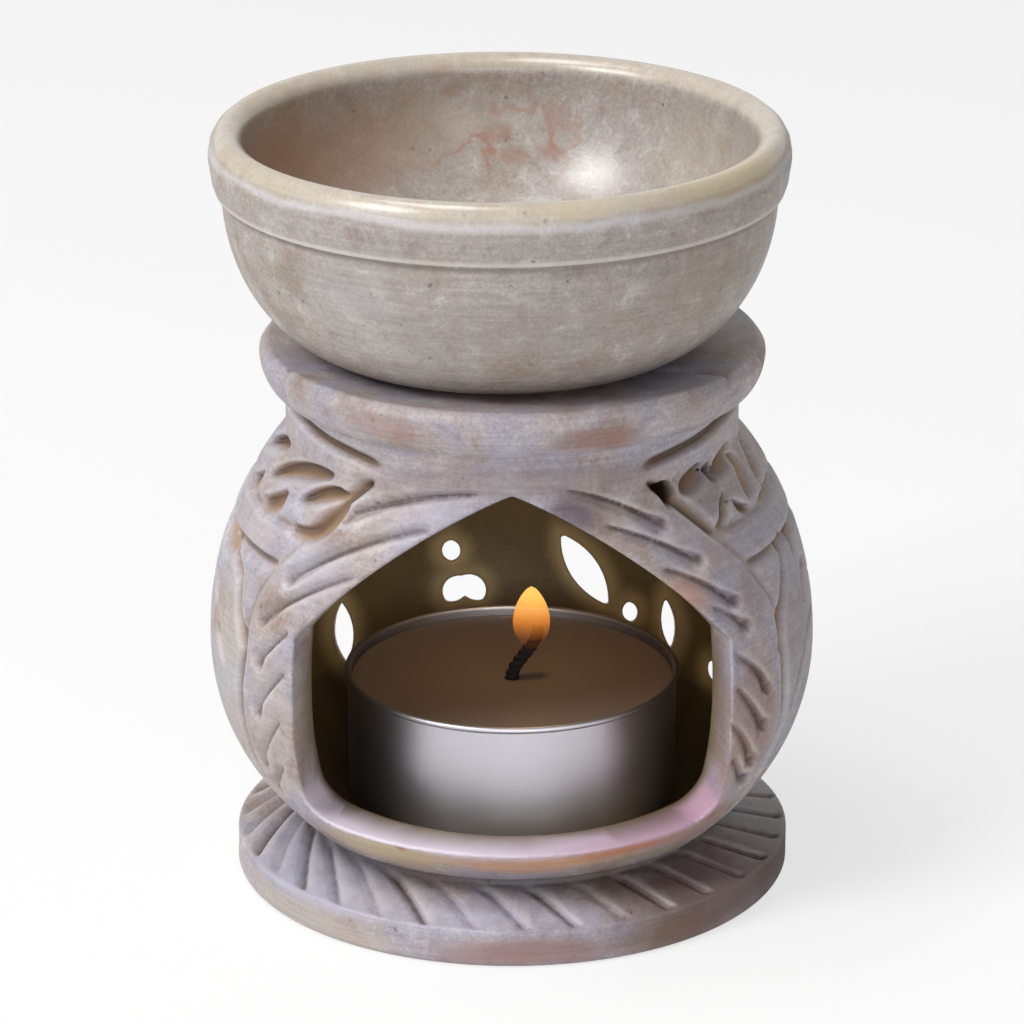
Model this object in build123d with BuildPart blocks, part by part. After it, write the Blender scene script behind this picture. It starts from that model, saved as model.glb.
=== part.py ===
# Soapstone oil burner: one turned and carved stone body, a loose stone bowl on top
# and a tealight standing inside. Millimetres, +Z up, the doorway faces -Y.
import os
from math import acos, atan, cos, degrees, radians, sin, sqrt

from build123d import *

# Foot of the stone, a flat disc with a turned undercut above it
BASE_RADIUS = 31.4
BASE_EDGE_HEIGHT = 4.4
BASE_EDGE_CHAMFER = 0.5
BASE_TOP_RISE = 1.6
BASE_CUT_COUNT = 32
BASE_CUT_WIDTH = 1.3
BASE_CUT_LENGTH = 9.6
BASE_CUT_SLANT = 38.0
UNDERCUT_HEIGHT = 1.2
UNDERCUT_RADIUS = 22.6

# Belly, two elliptical turns that meet at the widest circle
BELLY_RADIUS = 34.1
BELLY_FOOT_RADIUS = 24.2
BELLY_LOWER = 20.3
BELLY_UPPER = 24.5
WALL = 5.6
TOOL_CLEAR = 1.0

# Neck and dished collar that carries the bowl
NECK_RADIUS = 25.3
NECK_LENGTH = 5.1
COLLAR_OVERHANG = 2.85
COLLAR_CURVE = 4.4
COLLAR_EDGE = 0.9
COLLAR_LIP = 1.2
SEAT_DEPTH = 1.1
SEAT_RADIUS = 18.0
VENT_RADIUS = 13.0

# Candle chamber
FLOOR_LIFT = 0.9
FLOOR_RADIUS = 20.2
DOME_LIFT = 3.0

# Pointed doorway, its cheeks flare outwards
DOOR_HALF_WIDTH = 23.8
DOOR_SILL = 4.5
DOOR_SHOULDER = 22.9
DOOR_APEX_LIFT = 0.3
DOOR_ARCH_BOW = 1.5
DOOR_CORNER = 3.2
DOOR_CHEEK_FLARE = 0.34
DOOR_SILL_FLARE = 0.1
DOOR_APEX_FLARE = 0.2

# Carved work on the belly
CARVE_DEPTH = 1.1
BORDER_HALF_WIDTH = 29.8
BORDER_RISE = 12.5
BORDER_CORNER = 8.0
BORDER_GROOVE = 0.55
STROKE_WIDTH = 1.3
FLOWER_RISE = 1.0
FLOWER_PETALS = 6
FLOWER_PETAL_LENGTH = 8.0
FLOWER_PETAL_WIDTH = 2.6
FLOWER_PETAL_REACH = 7.6
FLOWER_RING = 13.4
FLOWER_RING_WIDTH = 0.9
SPRIG_ROWS = 7
SPRIG_LOW = 7.8
SPRIG_PITCH = 3.6
SPRIG_LEAF_RISE = 3.2
SPRIG_LEAF_RUN = 3.75
SPRIG_LEAF_LENGTH = 5.1
SPRIG_LEAF_WIDTH = 1.8
SPRIG_LEAF_TURN = 4.6
NECK_GROOVE_START = 50.0
NECK_GROOVE_LIFT = 3.9
NECK_GROOVE_DEPTH = 1.2
NECK_GROOVE_BELOW = 0.45
NECK_GROOVE_ABOVE = 1.3
PIERCED_DIP = 20.0

# Bowl
BOWL_FOOT_RADIUS = 16.0
BOWL_SIDE_RADIUS = 30.6
BOWL_SIDE_HEIGHT = 18.4
BOWL_LIP_OUT = 1.3
BOWL_LIP_HEIGHT = 6.6
BOWL_LIP_WIDTH = 3.7
BOWL_LIP_DIP = 0.4
BOWL_LIP_BEVEL = 1.6
BOWL_FLOOR = 4.6
BOWL_HOLLOW_FLAT = 12.0
BOWL_OFF_CENTRE = -1.3

# Tealight
CUP_RADIUS = 19.0
CUP_HEIGHT = 15.0
CUP_WALL = 0.4
CUP_BEAD = 0.3
CUP_BEAD_HEIGHT = 0.7
CUP_CORNER = 1.2
WAX_GAP = 0.1
WAX_DROP = 1.1
TAB_RADIUS = 6.5
TAB_THICKNESS = 0.3
TAB_TUBE_HEIGHT = 3.0
TAB_TUBE_WALL = 0.5
WICK_RADIUS = 0.8
WICK_GAP = 0.15
WICK_LENGTH = 6.4
WICK_LEAN = 3.3
WICK_BEND_LOW = 2.0
WICK_BEND_HIGH = 3.4

# Places on the wall are an angle from the door and a height share of the belly

# Each stroke of the leaf band: start, middle and end
STROKES = [
    ((-5.3, 1.011), (-23.0, 0.987), (-40.3, 0.924)),
    ((-16.3, 0.938), (-34.0, 0.871), (-50.3, 0.754)),
    ((-32.2, 0.813), (-44.0, 0.741), (-56.0, 0.636)),
    ((-47.1, 0.641), (-52.0, 0.580), (-55.3, 0.529)),
    ((-46.6, 0.542), (-52.0, 0.469), (-55.9, 0.397)),
    ((-48.1, 0.411), (-54.0, 0.321), (-58.4, 0.239)),
    ((-50.3, 0.275), (-55.0, 0.214), (-58.0, 0.167)),
    ((11.7, 1.025), (25.0, 0.982), (35.9, 0.917)),
    ((20.2, 0.942), (32.0, 0.893), (42.4, 0.824)),
    ((31.7, 0.833), (41.0, 0.781), (49.1, 0.708)),
    ((42.1, 0.719), (47.0, 0.685), (51.1, 0.643)),
    ((45.8, 0.596), (53.5, 0.518), (55.9, 0.464)),
    ((45.8, 0.513), (52.3, 0.422), (55.7, 0.366)),
    ((44.8, 0.420), (50.9, 0.335), (55.0, 0.268)),
    ((46.8, 0.317), (51.0, 0.259), (55.1, 0.214)),
]

# Each hollow between the leaves of the frieze: start, middle, end and width
FRIEZE_HOLLOWS = [
    ((-76.0, 0.920), (-66.0, 0.969), (-50.0, 0.991), 2.2),
    ((-72.0, 0.871), (-67.0, 0.888), (-62.6, 0.920), 2.7),
    ((-57.0, 0.917), (-50.5, 0.955), (-43.0, 0.962), 2.1),
    ((-56.0, 0.864), (-48.5, 0.875), (-42.0, 0.953), 2.2),
    ((-94.0, 0.940), (-85.0, 0.975), (-75.0, 0.989), 1.8),
    ((-87.0, 0.873), (-83.0, 0.884), (-79.0, 0.911), 2.4),
    ((44.6, 0.975), (48.5, 0.996), (56.0, 1.009), 2.6),
    ((51.0, 0.866), (55.0, 0.893), (57.8, 0.940), 1.5),
    ((58.6, 0.984), (64.5, 1.002), (73.0, 1.016), 2.1),
    ((65.4, 0.886), (68.0, 0.924), (71.8, 0.982), 3.0),
    ((77.5, 0.884), (79.8, 0.929), (85.0, 0.982), 2.6),
]

# The same for the hollows at the edges of the side panels
SIDE_HOLLOWS = [
    ((-96.0, 0.745), (-86.0, 0.752), (-76.0, 0.723), 3.4),
    ((-84.0, 0.647), (-81.0, 0.625), (-78.5, 0.589), 2.0),
    ((-76.0, 0.542), (-72.0, 0.504), (-69.5, 0.464), 1.8),
    ((84.0, 0.759), (80.5, 0.752), (77.0, 0.717), 1.8),
    ((84.0, 0.670), (80.0, 0.643), (77.6, 0.589), 2.0),
    ((83.0, 0.547), (75.0, 0.478), (66.8, 0.350), 1.6),
]

# The same frieze round the back, as a pair of hollows that repeats
FRIEZE_PAIR = [
    ((-8.5, 0.915), (0.5, 0.971), (9.5, 0.989), 2.2),
    ((-6.5, 0.873), (-1.0, 0.882), (4.5, 0.924), 2.4),
]
FRIEZE_PAIR_ANGLES = [101.0 + 20.0 * k for k in range(8)]

# Each hole pierced square to the wall: angle, height share, length, width, tilt, and its slant down outwards
PIERCED = [
    (40.6, 0.974, 2.8, 2.2, 62.0, 0.0),
    (57.5, 0.985, 2.2, 1.6, 40.0, 0.0),
    (55.0, 0.905, 3.4, 1.2, -74.0, 0.0),
    (-110.0, 0.47, 4.4, 2.4, 60.0, PIERCED_DIP),
    (107.0, 0.47, 4.4, 2.4, -60.0, PIERCED_DIP),
]

# Each hole pierced straight back and down from the chamber: angle, height share, length, width and tilt
PIERCED_BACK = [
    (-165.0, 0.435, 2.6, 2.2, 90.0),
    (-170.5, 0.325, 3.8, 2.8, 55.0),
    (-166.0, 0.325, 3.8, 2.8, -55.0),
    (162.0, 0.385, 10.6, 3.4, 58.0),
    (150.0, 0.285, 2.6, 1.8, 80.0),
    (138.8, 0.281, 6.4, 1.6, 84.0),
    (121.0, 0.201, 3.6, 1.9, 60.0),
    (-135.0, 0.268, 7.6, 2.2, 86.0),
]
FLOWER_ANGLES = [-107.0, 107.0, 180.0]
SPRIG_ANGLES = [-143.5, 143.5]

# Heights that follow from the sizes above
Z_UNDERCUT = BASE_EDGE_HEIGHT + BASE_TOP_RISE
Z_BELLY = Z_UNDERCUT + UNDERCUT_HEIGHT
Z_MID = Z_BELLY + BELLY_LOWER
Z_NECK = Z_MID + BELLY_UPPER
Z_COLLAR = Z_NECK + NECK_LENGTH
Z_COLLAR_EDGE = Z_COLLAR + COLLAR_CURVE
Z_COLLAR_TOP = Z_COLLAR_EDGE + COLLAR_LIP
Z_SEAT = Z_COLLAR_TOP - SEAT_DEPTH
Z_FLOOR = Z_BELLY + FLOOR_LIFT
Z_DOME = Z_NECK + DOME_LIFT
Z_SILL = Z_FLOOR + DOOR_SILL
Z_SHOULDER = Z_SILL + DOOR_SHOULDER
Z_APEX = Z_NECK + DOOR_APEX_LIFT
COLLAR_RADIUS = NECK_RADIUS + COLLAR_OVERHANG
CHAMBER_RADIUS = BELLY_RADIUS - WALL


def half_height(rise, end_radius, wide_radius):
    """Half axis of the ellipse that falls from wide_radius to end_radius over the rise."""
    return rise / sqrt(1.0 - (end_radius / wide_radius) ** 2)


def turned_side(bottom_radius, wide_radius, top_radius, z_bottom, z_mid, z_top):
    """Side of a turned belly, elliptical below and above its widest circle."""
    low = half_height(z_mid - z_bottom, bottom_radius, wide_radius)
    high = half_height(z_top - z_mid, top_radius, wide_radius)
    a_low = acos(bottom_radius / wide_radius)
    a_high = acos(top_radius / wide_radius)
    points = [(bottom_radius, z_bottom)]
    for share in (0.75, 0.5, 0.25):
        points.append((wide_radius * cos(a_low * share), z_mid - low * sin(a_low * share)))
    points.append((wide_radius, z_mid))
    for share in (0.25, 0.5, 0.75):
        points.append((wide_radius * cos(a_high * share), z_mid + high * sin(a_high * share)))
    points.append((top_radius, z_top))
    Spline(*points)


def radial_plane(angle, height, reach, dip=0.0):
    """Plane square to the wall, angle measured from the doorway towards +X, tipped to face down by the dip."""
    a = radians(angle)
    d = radians(dip)
    return Plane(
        origin=(sin(a) * reach, -cos(a) * reach, height),
        x_dir=(cos(a), sin(a), 0),
        z_dir=(sin(a) * cos(d), -cos(a) * cos(d), -sin(d)),
    )


def back_plane(angle, height, reach):
    """Plane that faces straight back and down, at an angle measured from the doorway towards +X."""
    a = radians(angle)
    d = radians(PIERCED_DIP)
    return Plane(origin=(sin(a) * reach, -cos(a) * reach, height), x_dir=(-1, 0, 0), z_dir=(0, cos(d), -sin(d)))


def belly_height(share):
    """Height on the belly, 0 at its underside and 1 at the neck."""
    return Z_BELLY + share * (BELLY_LOWER + BELLY_UPPER)


def skin_radius(height):
    """Radius of the belly's uncarved skin at a height."""
    if height < Z_MID:
        half = half_height(BELLY_LOWER, BELLY_FOOT_RADIUS, BELLY_RADIUS)
    else:
        half = half_height(BELLY_UPPER, NECK_RADIUS, BELLY_RADIUS)
    return BELLY_RADIUS * sqrt(1.0 - ((height - Z_MID) / half) ** 2)


def wall_arc(start, middle, end):
    """Plane square to the wall and the arc in it through three places."""
    angle, height = middle[0], belly_height(middle[1])
    points = []
    for place_angle, share in (start, middle, end):
        across = skin_radius(height) * sin(radians(place_angle - angle))
        points.append((across, belly_height(share) - height))
    return radial_plane(angle, height, CARVE_START), Edge.make_three_point_arc(*points)


def door_outline(half_width, sill, shoulder, apex, bow, corner):
    """Closed pointed doorway in a plane whose local y is the height."""
    Line((-half_width + corner, sill), (half_width - corner, sill))
    RadiusArc((half_width - corner, sill), (half_width, sill + corner), -corner)
    Line((half_width, sill + corner), (half_width, shoulder))
    SagittaArc((half_width, shoulder), (0, apex), -bow)
    SagittaArc((0, apex), (-half_width, shoulder), -bow)
    Line((-half_width, shoulder), (-half_width, sill + corner))
    RadiusArc((-half_width, sill + corner), (-half_width + corner, sill), -corner)


def door_plane(distance):
    """Upright plane in front of the axis, seen from the front."""
    return Plane(origin=(0, -distance, 0), x_dir=(1, 0, 0), z_dir=(0, -1, 0))


# Tool bodies for the carving: the belly without its carved skin
with BuildPart() as carve_core:
    with BuildSketch(Plane.XZ):
        with BuildLine():
            Line((0, Z_BELLY - TOOL_CLEAR), (BELLY_FOOT_RADIUS - CARVE_DEPTH, Z_BELLY - TOOL_CLEAR))
            Line((BELLY_FOOT_RADIUS - CARVE_DEPTH, Z_BELLY - TOOL_CLEAR), (BELLY_FOOT_RADIUS - CARVE_DEPTH, Z_BELLY))
            turned_side(
                BELLY_FOOT_RADIUS - CARVE_DEPTH, BELLY_RADIUS - CARVE_DEPTH, NECK_RADIUS - CARVE_DEPTH,
                Z_BELLY, Z_MID, Z_NECK,
            )
            Line((NECK_RADIUS - CARVE_DEPTH, Z_NECK), (NECK_RADIUS - CARVE_DEPTH, Z_COLLAR_TOP))
            Line((NECK_RADIUS - CARVE_DEPTH, Z_COLLAR_TOP), (0, Z_COLLAR_TOP))
            Line((0, Z_COLLAR_TOP), (0, Z_BELLY - TOOL_CLEAR))
        make_face()
    revolve(axis=Axis.Z)

# Groove that borders the leaf band on both sides of the doorway
with BuildPart() as border:
    with BuildSketch(door_plane(0.15 * BELLY_RADIUS)):
        for half in (BORDER_HALF_WIDTH + BORDER_GROOVE / 2, BORDER_HALF_WIDTH - BORDER_GROOVE / 2):
            with BuildLine():
                door_outline(
                    half, Z_BELLY - 2 * TOOL_CLEAR, Z_SHOULDER, Z_APEX + BORDER_RISE + half - BORDER_HALF_WIDTH,
                    DOOR_ARCH_BOW, BORDER_CORNER,
                )
            make_face(mode=Mode.ADD if half > BORDER_HALF_WIDTH else Mode.SUBTRACT)
    extrude(amount=BELLY_RADIUS)
    split(bisect_by=Plane.XY.offset(Z_NECK - 0.4), keep=Keep.BOTTOM)
    split(bisect_by=Plane.XY.offset(Z_SILL), keep=Keep.TOP)

# Gouge strokes of the leaf band, hollows of the frieze, side flowers and leaf sprigs
CARVE_START = 0.6 * BELLY_RADIUS
CARVE_REACH = 0.45 * BELLY_RADIUS
slots = [(*line, STROKE_WIDTH) for line in STROKES] + FRIEZE_HOLLOWS + SIDE_HOLLOWS
for turn in FRIEZE_PAIR_ANGLES:
    for *line, width in FRIEZE_PAIR:
        slots.append((*[(turn + angle, share) for angle, share in line], width))
with BuildPart() as carving:
    for *line, width in slots:
        plane, arc = wall_arc(*line)
        with BuildSketch(plane):
            SlotArc(arc, width)
    for angle in FLOWER_ANGLES:
        with BuildSketch(radial_plane(angle, Z_MID + FLOWER_RISE, CARVE_START)):
            Circle(FLOWER_RING + FLOWER_RING_WIDTH / 2)
            Circle(FLOWER_RING - FLOWER_RING_WIDTH / 2, mode=Mode.SUBTRACT)
            with PolarLocations(FLOWER_PETAL_REACH, FLOWER_PETALS):
                SlotOverall(FLOWER_PETAL_LENGTH, FLOWER_PETAL_WIDTH)
    for turn in SPRIG_ANGLES:
        for row in range(SPRIG_ROWS):
            height = Z_BELLY + SPRIG_LOW + SPRIG_PITCH * row
            for side in (-1, 1):
                leaf_turn = turn + side * SPRIG_LEAF_TURN
                with BuildSketch(radial_plane(leaf_turn, height + SPRIG_LEAF_RISE / 2, CARVE_START)):
                    lean = side * degrees(atan(SPRIG_LEAF_RISE / SPRIG_LEAF_RUN))
                    SlotOverall(SPRIG_LEAF_LENGTH, SPRIG_LEAF_WIDTH, rotation=lean)
    extrude(amount=CARVE_REACH)
    add(border.part)
    add(carve_core.part, mode=Mode.SUBTRACT)

# Groove under the collar, round the sides and the back
with BuildPart() as neck_groove:
    with BuildSketch(Plane.XZ.rotated((0, 0, NECK_GROOVE_START - 90))):
        with BuildLine():
            groove = Z_NECK + NECK_GROOVE_LIFT
            Polyline(
                (NECK_RADIUS - NECK_GROOVE_DEPTH, groove),
                (NECK_RADIUS + NECK_GROOVE_DEPTH, groove + 2 * NECK_GROOVE_ABOVE),
                (NECK_RADIUS + NECK_GROOVE_DEPTH, groove - 2 * NECK_GROOVE_BELOW),
                close=True,
            )
        make_face()
    revolve(axis=Axis.Z, revolution_arc=360 - 2 * NECK_GROOVE_START)

# Doorway cutter from outside the belly into the chamber
DOOR_PLANE = 0.7 * BELLY_RADIUS
DOOR_OUTER = BELLY_RADIUS + 2 * TOOL_CLEAR
DOOR_INNER = 0.38 * BELLY_RADIUS
with BuildPart() as doorway:
    for distance in (DOOR_OUTER, DOOR_INNER):
        step = distance - DOOR_PLANE
        with BuildSketch(door_plane(distance)):
            with BuildLine():
                door_outline(
                    DOOR_HALF_WIDTH + DOOR_CHEEK_FLARE * step,
                    Z_SILL - DOOR_SILL_FLARE * step,
                    Z_SHOULDER + DOOR_SILL_FLARE * step,
                    Z_APEX + DOOR_APEX_FLARE * step,
                    DOOR_ARCH_BOW,
                    DOOR_CORNER,
                )
            make_face()
    loft(ruled=True)

# Holes carved right through the wall
PIERCED_REACH = 0.82 * BELLY_RADIUS
with BuildPart() as piercings:
    for angle, share, length, width, tilt, dip in PIERCED:
        with BuildSketch(radial_plane(angle, belly_height(share), PIERCED_REACH, dip)):
            SlotOverall(length, width, rotation=tilt)
    for angle, share, length, width, tilt in PIERCED_BACK:
        with BuildSketch(back_plane(angle, belly_height(share), PIERCED_REACH)):
            SlotOverall(length, width, rotation=tilt)
    extrude(amount=0.4 * BELLY_RADIUS, both=True)

# Slanted cuts round the top of the foot disc, sunk along its gentle cone
BASE_CUT_REACH = UNDERCUT_RADIUS + 0.56 * (BASE_RADIUS - UNDERCUT_RADIUS)
BASE_CUT_HEIGHT = BASE_EDGE_HEIGHT + 0.44 * BASE_TOP_RISE + 0.25 * BASE_CUT_WIDTH
BASE_SLOPE = BASE_TOP_RISE / (BASE_RADIUS - UNDERCUT_RADIUS)
BASE_CUT_DIP = degrees(atan(BASE_SLOPE * cos(radians(BASE_CUT_SLANT))))
with BuildPart() as base_cuts:
    with Locations((0, 0, BASE_CUT_HEIGHT)):
        with PolarLocations(BASE_CUT_REACH, BASE_CUT_COUNT):
            with Locations(Location((0, 0, 0), (0, 0, BASE_CUT_SLANT)) * Location((0, 0, 0), (0, BASE_CUT_DIP, 0))):
                Box(BASE_CUT_LENGTH, BASE_CUT_WIDTH, BASE_CUT_WIDTH, rotation=(45, 0, 0))

# The stone body
with BuildPart() as burner_body:
    with BuildSketch(Plane.XZ):
        with BuildLine():
            Line((0, 0), (BASE_RADIUS - BASE_EDGE_CHAMFER, 0))
            Line((BASE_RADIUS - BASE_EDGE_CHAMFER, 0), (BASE_RADIUS, BASE_EDGE_CHAMFER))
            Line((BASE_RADIUS, BASE_EDGE_CHAMFER), (BASE_RADIUS, BASE_EDGE_HEIGHT))
            Line((BASE_RADIUS, BASE_EDGE_HEIGHT), (UNDERCUT_RADIUS, Z_UNDERCUT))
            Line((UNDERCUT_RADIUS, Z_UNDERCUT), (UNDERCUT_RADIUS, Z_BELLY))
            Line((UNDERCUT_RADIUS, Z_BELLY), (BELLY_FOOT_RADIUS, Z_BELLY))
            turned_side(BELLY_FOOT_RADIUS, BELLY_RADIUS, NECK_RADIUS, Z_BELLY, Z_MID, Z_NECK)
            Line((NECK_RADIUS, Z_NECK), (NECK_RADIUS, Z_COLLAR))
            EllipticalCenterArc(
                (NECK_RADIUS, Z_COLLAR_EDGE), COLLAR_OVERHANG, COLLAR_CURVE, start_angle=-90, arc_size=90
            )
            Line((COLLAR_RADIUS, Z_COLLAR_EDGE), (COLLAR_RADIUS - COLLAR_EDGE, Z_COLLAR_TOP))
            Line((COLLAR_RADIUS - COLLAR_EDGE, Z_COLLAR_TOP), (SEAT_RADIUS, Z_SEAT))
            Line((SEAT_RADIUS, Z_SEAT), (0, Z_SEAT))
            Line((0, Z_SEAT), (0, 0))
        make_face()
    revolve(axis=Axis.Z)
    with BuildSketch(Plane.XZ):
        with BuildLine():
            Line((0, Z_FLOOR), (FLOOR_RADIUS, Z_FLOOR))
            turned_side(FLOOR_RADIUS, CHAMBER_RADIUS, VENT_RADIUS, Z_FLOOR, Z_MID, Z_DOME)
            Line((VENT_RADIUS, Z_DOME), (VENT_RADIUS, Z_COLLAR_TOP + TOOL_CLEAR))
            Line((VENT_RADIUS, Z_COLLAR_TOP + TOOL_CLEAR), (0, Z_COLLAR_TOP + TOOL_CLEAR))
            Line((0, Z_COLLAR_TOP + TOOL_CLEAR), (0, Z_FLOOR))
        make_face()
    revolve(axis=Axis.Z, mode=Mode.SUBTRACT)
    add(doorway.part, mode=Mode.SUBTRACT)
    add(base_cuts.part, mode=Mode.SUBTRACT)
    add(carving.part, mode=Mode.SUBTRACT)
    add(neck_groove.part, mode=Mode.SUBTRACT)
    add(piercings.part, mode=Mode.SUBTRACT)
burner_body.part.label = "burner_body"

# The loose bowl, standing on the flat seat of the collar, a little to the left of its middle
Z_LIP = Z_SEAT + BOWL_SIDE_HEIGHT
Z_RIM = Z_LIP + BOWL_LIP_HEIGHT
Z_BOWL_FLOOR = Z_SEAT + BOWL_FLOOR
LIP_RADIUS = BOWL_SIDE_RADIUS + BOWL_LIP_OUT
HOLLOW_RADIUS = LIP_RADIUS - BOWL_LIP_WIDTH
with BuildPart() as oil_bowl:
    with BuildSketch(Plane.XZ.move(Location((BOWL_OFF_CENTRE, 0, 0)))):
        with BuildLine():
            Line((0, Z_SEAT), (BOWL_FOOT_RADIUS, Z_SEAT))
            EllipticalCenterArc(
                (BOWL_FOOT_RADIUS, Z_LIP), BOWL_SIDE_RADIUS - BOWL_FOOT_RADIUS, BOWL_SIDE_HEIGHT,
                start_angle=-90, arc_size=90,
            )
            Line((BOWL_SIDE_RADIUS, Z_LIP), (BOWL_SIDE_RADIUS + 0.3 * BOWL_LIP_OUT, Z_LIP))
            ThreePointArc(
                (BOWL_SIDE_RADIUS + 0.3 * BOWL_LIP_OUT, Z_LIP),
                (LIP_RADIUS, Z_LIP + 0.55 * BOWL_LIP_HEIGHT),
                (LIP_RADIUS - 0.45 * BOWL_LIP_WIDTH, Z_RIM),
            )
            Line((LIP_RADIUS - 0.45 * BOWL_LIP_WIDTH, Z_RIM), (LIP_RADIUS - 0.8 * BOWL_LIP_WIDTH, Z_RIM - BOWL_LIP_DIP))
            Line((LIP_RADIUS - 0.8 * BOWL_LIP_WIDTH, Z_RIM - BOWL_LIP_DIP), (HOLLOW_RADIUS, Z_RIM - BOWL_LIP_BEVEL))
            EllipticalCenterArc(
                (BOWL_HOLLOW_FLAT, Z_RIM - BOWL_LIP_BEVEL), HOLLOW_RADIUS - BOWL_HOLLOW_FLAT,
                Z_RIM - BOWL_LIP_BEVEL - Z_BOWL_FLOOR, start_angle=-90, arc_size=90,
            )
            Line((BOWL_HOLLOW_FLAT, Z_BOWL_FLOOR), (0, Z_BOWL_FLOOR))
            Line((0, Z_BOWL_FLOOR), (0, Z_SEAT))
        make_face()
    revolve(axis=Axis((BOWL_OFF_CENTRE, 0, 0), (0, 0, 1)))
oil_bowl.part.label = "oil_bowl"

# The tealight cup, thin aluminium with a beaded rim
Z_CUP_RIM = Z_FLOOR + CUP_HEIGHT
CUP_SIDE = CUP_RADIUS - CUP_BEAD
CUP_BORE = CUP_SIDE - CUP_WALL
with BuildPart() as candle_cup:
    with BuildSketch(Plane.XZ):
        with BuildLine():
            Line((0, Z_FLOOR), (CUP_SIDE - CUP_CORNER, Z_FLOOR))
            RadiusArc((CUP_SIDE - CUP_CORNER, Z_FLOOR), (CUP_SIDE, Z_FLOOR + CUP_CORNER), -CUP_CORNER)
            Line((CUP_SIDE, Z_FLOOR + CUP_CORNER), (CUP_SIDE, Z_CUP_RIM - CUP_BEAD_HEIGHT))
            Line((CUP_SIDE, Z_CUP_RIM - CUP_BEAD_HEIGHT), (CUP_RADIUS, Z_CUP_RIM - 0.7 * CUP_BEAD_HEIGHT))
            Line((CUP_RADIUS, Z_CUP_RIM - 0.7 * CUP_BEAD_HEIGHT), (CUP_RADIUS, Z_CUP_RIM))
            Line((CUP_RADIUS, Z_CUP_RIM), (CUP_BORE, Z_CUP_RIM))
            Line((CUP_BORE, Z_CUP_RIM), (CUP_BORE, Z_FLOOR + CUP_CORNER))
            Line((CUP_BORE, Z_FLOOR + CUP_CORNER), (CUP_BORE - CUP_CORNER + CUP_WALL, Z_FLOOR + CUP_WALL))
            Line((CUP_BORE - CUP_CORNER + CUP_WALL, Z_FLOOR + CUP_WALL), (0, Z_FLOOR + CUP_WALL))
            Line((0, Z_FLOOR + CUP_WALL), (0, Z_FLOOR))
        make_face()
    revolve(axis=Axis.Z)
candle_cup.part.label = "candle_cup"

# The tin tab that holds the wick upright at the bottom of the cup
Z_TAB = Z_FLOOR + CUP_WALL
Z_TAB_TOP = Z_TAB + TAB_THICKNESS
TUBE_BORE = WICK_RADIUS + WICK_GAP
TUBE_RADIUS = TUBE_BORE + TAB_TUBE_WALL
with BuildPart() as wick_sustainer:
    with BuildSketch(Plane.XY.offset(Z_TAB)):
        Circle(TAB_RADIUS)
    extrude(amount=TAB_THICKNESS)
    with BuildSketch(Plane.XY.offset(Z_TAB_TOP)):
        Circle(TUBE_RADIUS)
        Circle(TUBE_BORE, mode=Mode.SUBTRACT)
    extrude(amount=TAB_TUBE_HEIGHT)
wick_sustainer.part.label = "wick_sustainer"

# The wax, poured round the tab and the wick
Z_WAX_TOP = Z_CUP_RIM - WAX_DROP
WAX_RADIUS = CUP_BORE - WAX_GAP
with BuildPart() as candle_wax:
    with BuildSketch(Plane.XZ):
        with BuildLine():
            Polyline(
                (TUBE_BORE, Z_WAX_TOP),
                (TUBE_BORE, Z_TAB_TOP + TAB_TUBE_HEIGHT + WAX_GAP),
                (TUBE_RADIUS + WAX_GAP, Z_TAB_TOP + TAB_TUBE_HEIGHT + WAX_GAP),
                (TUBE_RADIUS + WAX_GAP, Z_TAB_TOP + WAX_GAP),
                (TAB_RADIUS + WAX_GAP, Z_TAB_TOP + WAX_GAP),
                (TAB_RADIUS + WAX_GAP, Z_TAB),
                (WAX_RADIUS - CUP_CORNER, Z_TAB),
                (WAX_RADIUS, Z_TAB + CUP_CORNER),
                (WAX_RADIUS, Z_WAX_TOP),
                close=True,
            )
        make_face()
    revolve(axis=Axis.Z)
candle_wax.part.label = "candle_wax"

# The wick, straight in the wax, leaning to the right above it and upright again in the flame
with BuildPart() as candle_wick:
    with BuildLine() as wick_path:
        stem = Line((0, 0, Z_TAB_TOP), (0, 0, Z_WAX_TOP))
        Bezier(
            (0, 0, Z_WAX_TOP),
            (0, 0, Z_WAX_TOP + WICK_BEND_LOW),
            (WICK_LEAN, 0, Z_WAX_TOP + WICK_BEND_HIGH),
            (WICK_LEAN, 0, Z_WAX_TOP + WICK_LENGTH),
        )
    with BuildSketch(Plane.XY.offset(Z_TAB_TOP)):
        Circle(WICK_RADIUS)
    sweep(path=wick_path.wires()[0])
candle_wick.part.label = "candle_wick"

os.makedirs("parts", exist_ok=True)
export_step(burner_body.part, "parts/burner_body.step")
export_step(oil_bowl.part, "parts/oil_bowl.step")
export_step(candle_cup.part, "parts/candle_cup.step")
export_step(candle_wax.part, "parts/candle_wax.step")
export_step(candle_wick.part, "parts/candle_wick.step")
export_step(wick_sustainer.part, "parts/wick_sustainer.step")
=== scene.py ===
# Carved soapstone oil burner: one stone body, a loose stone bowl and a tealight inside.
# Sizes are millimetres, angles are degrees from the doorway (-Y) towards +X.
import math

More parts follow.
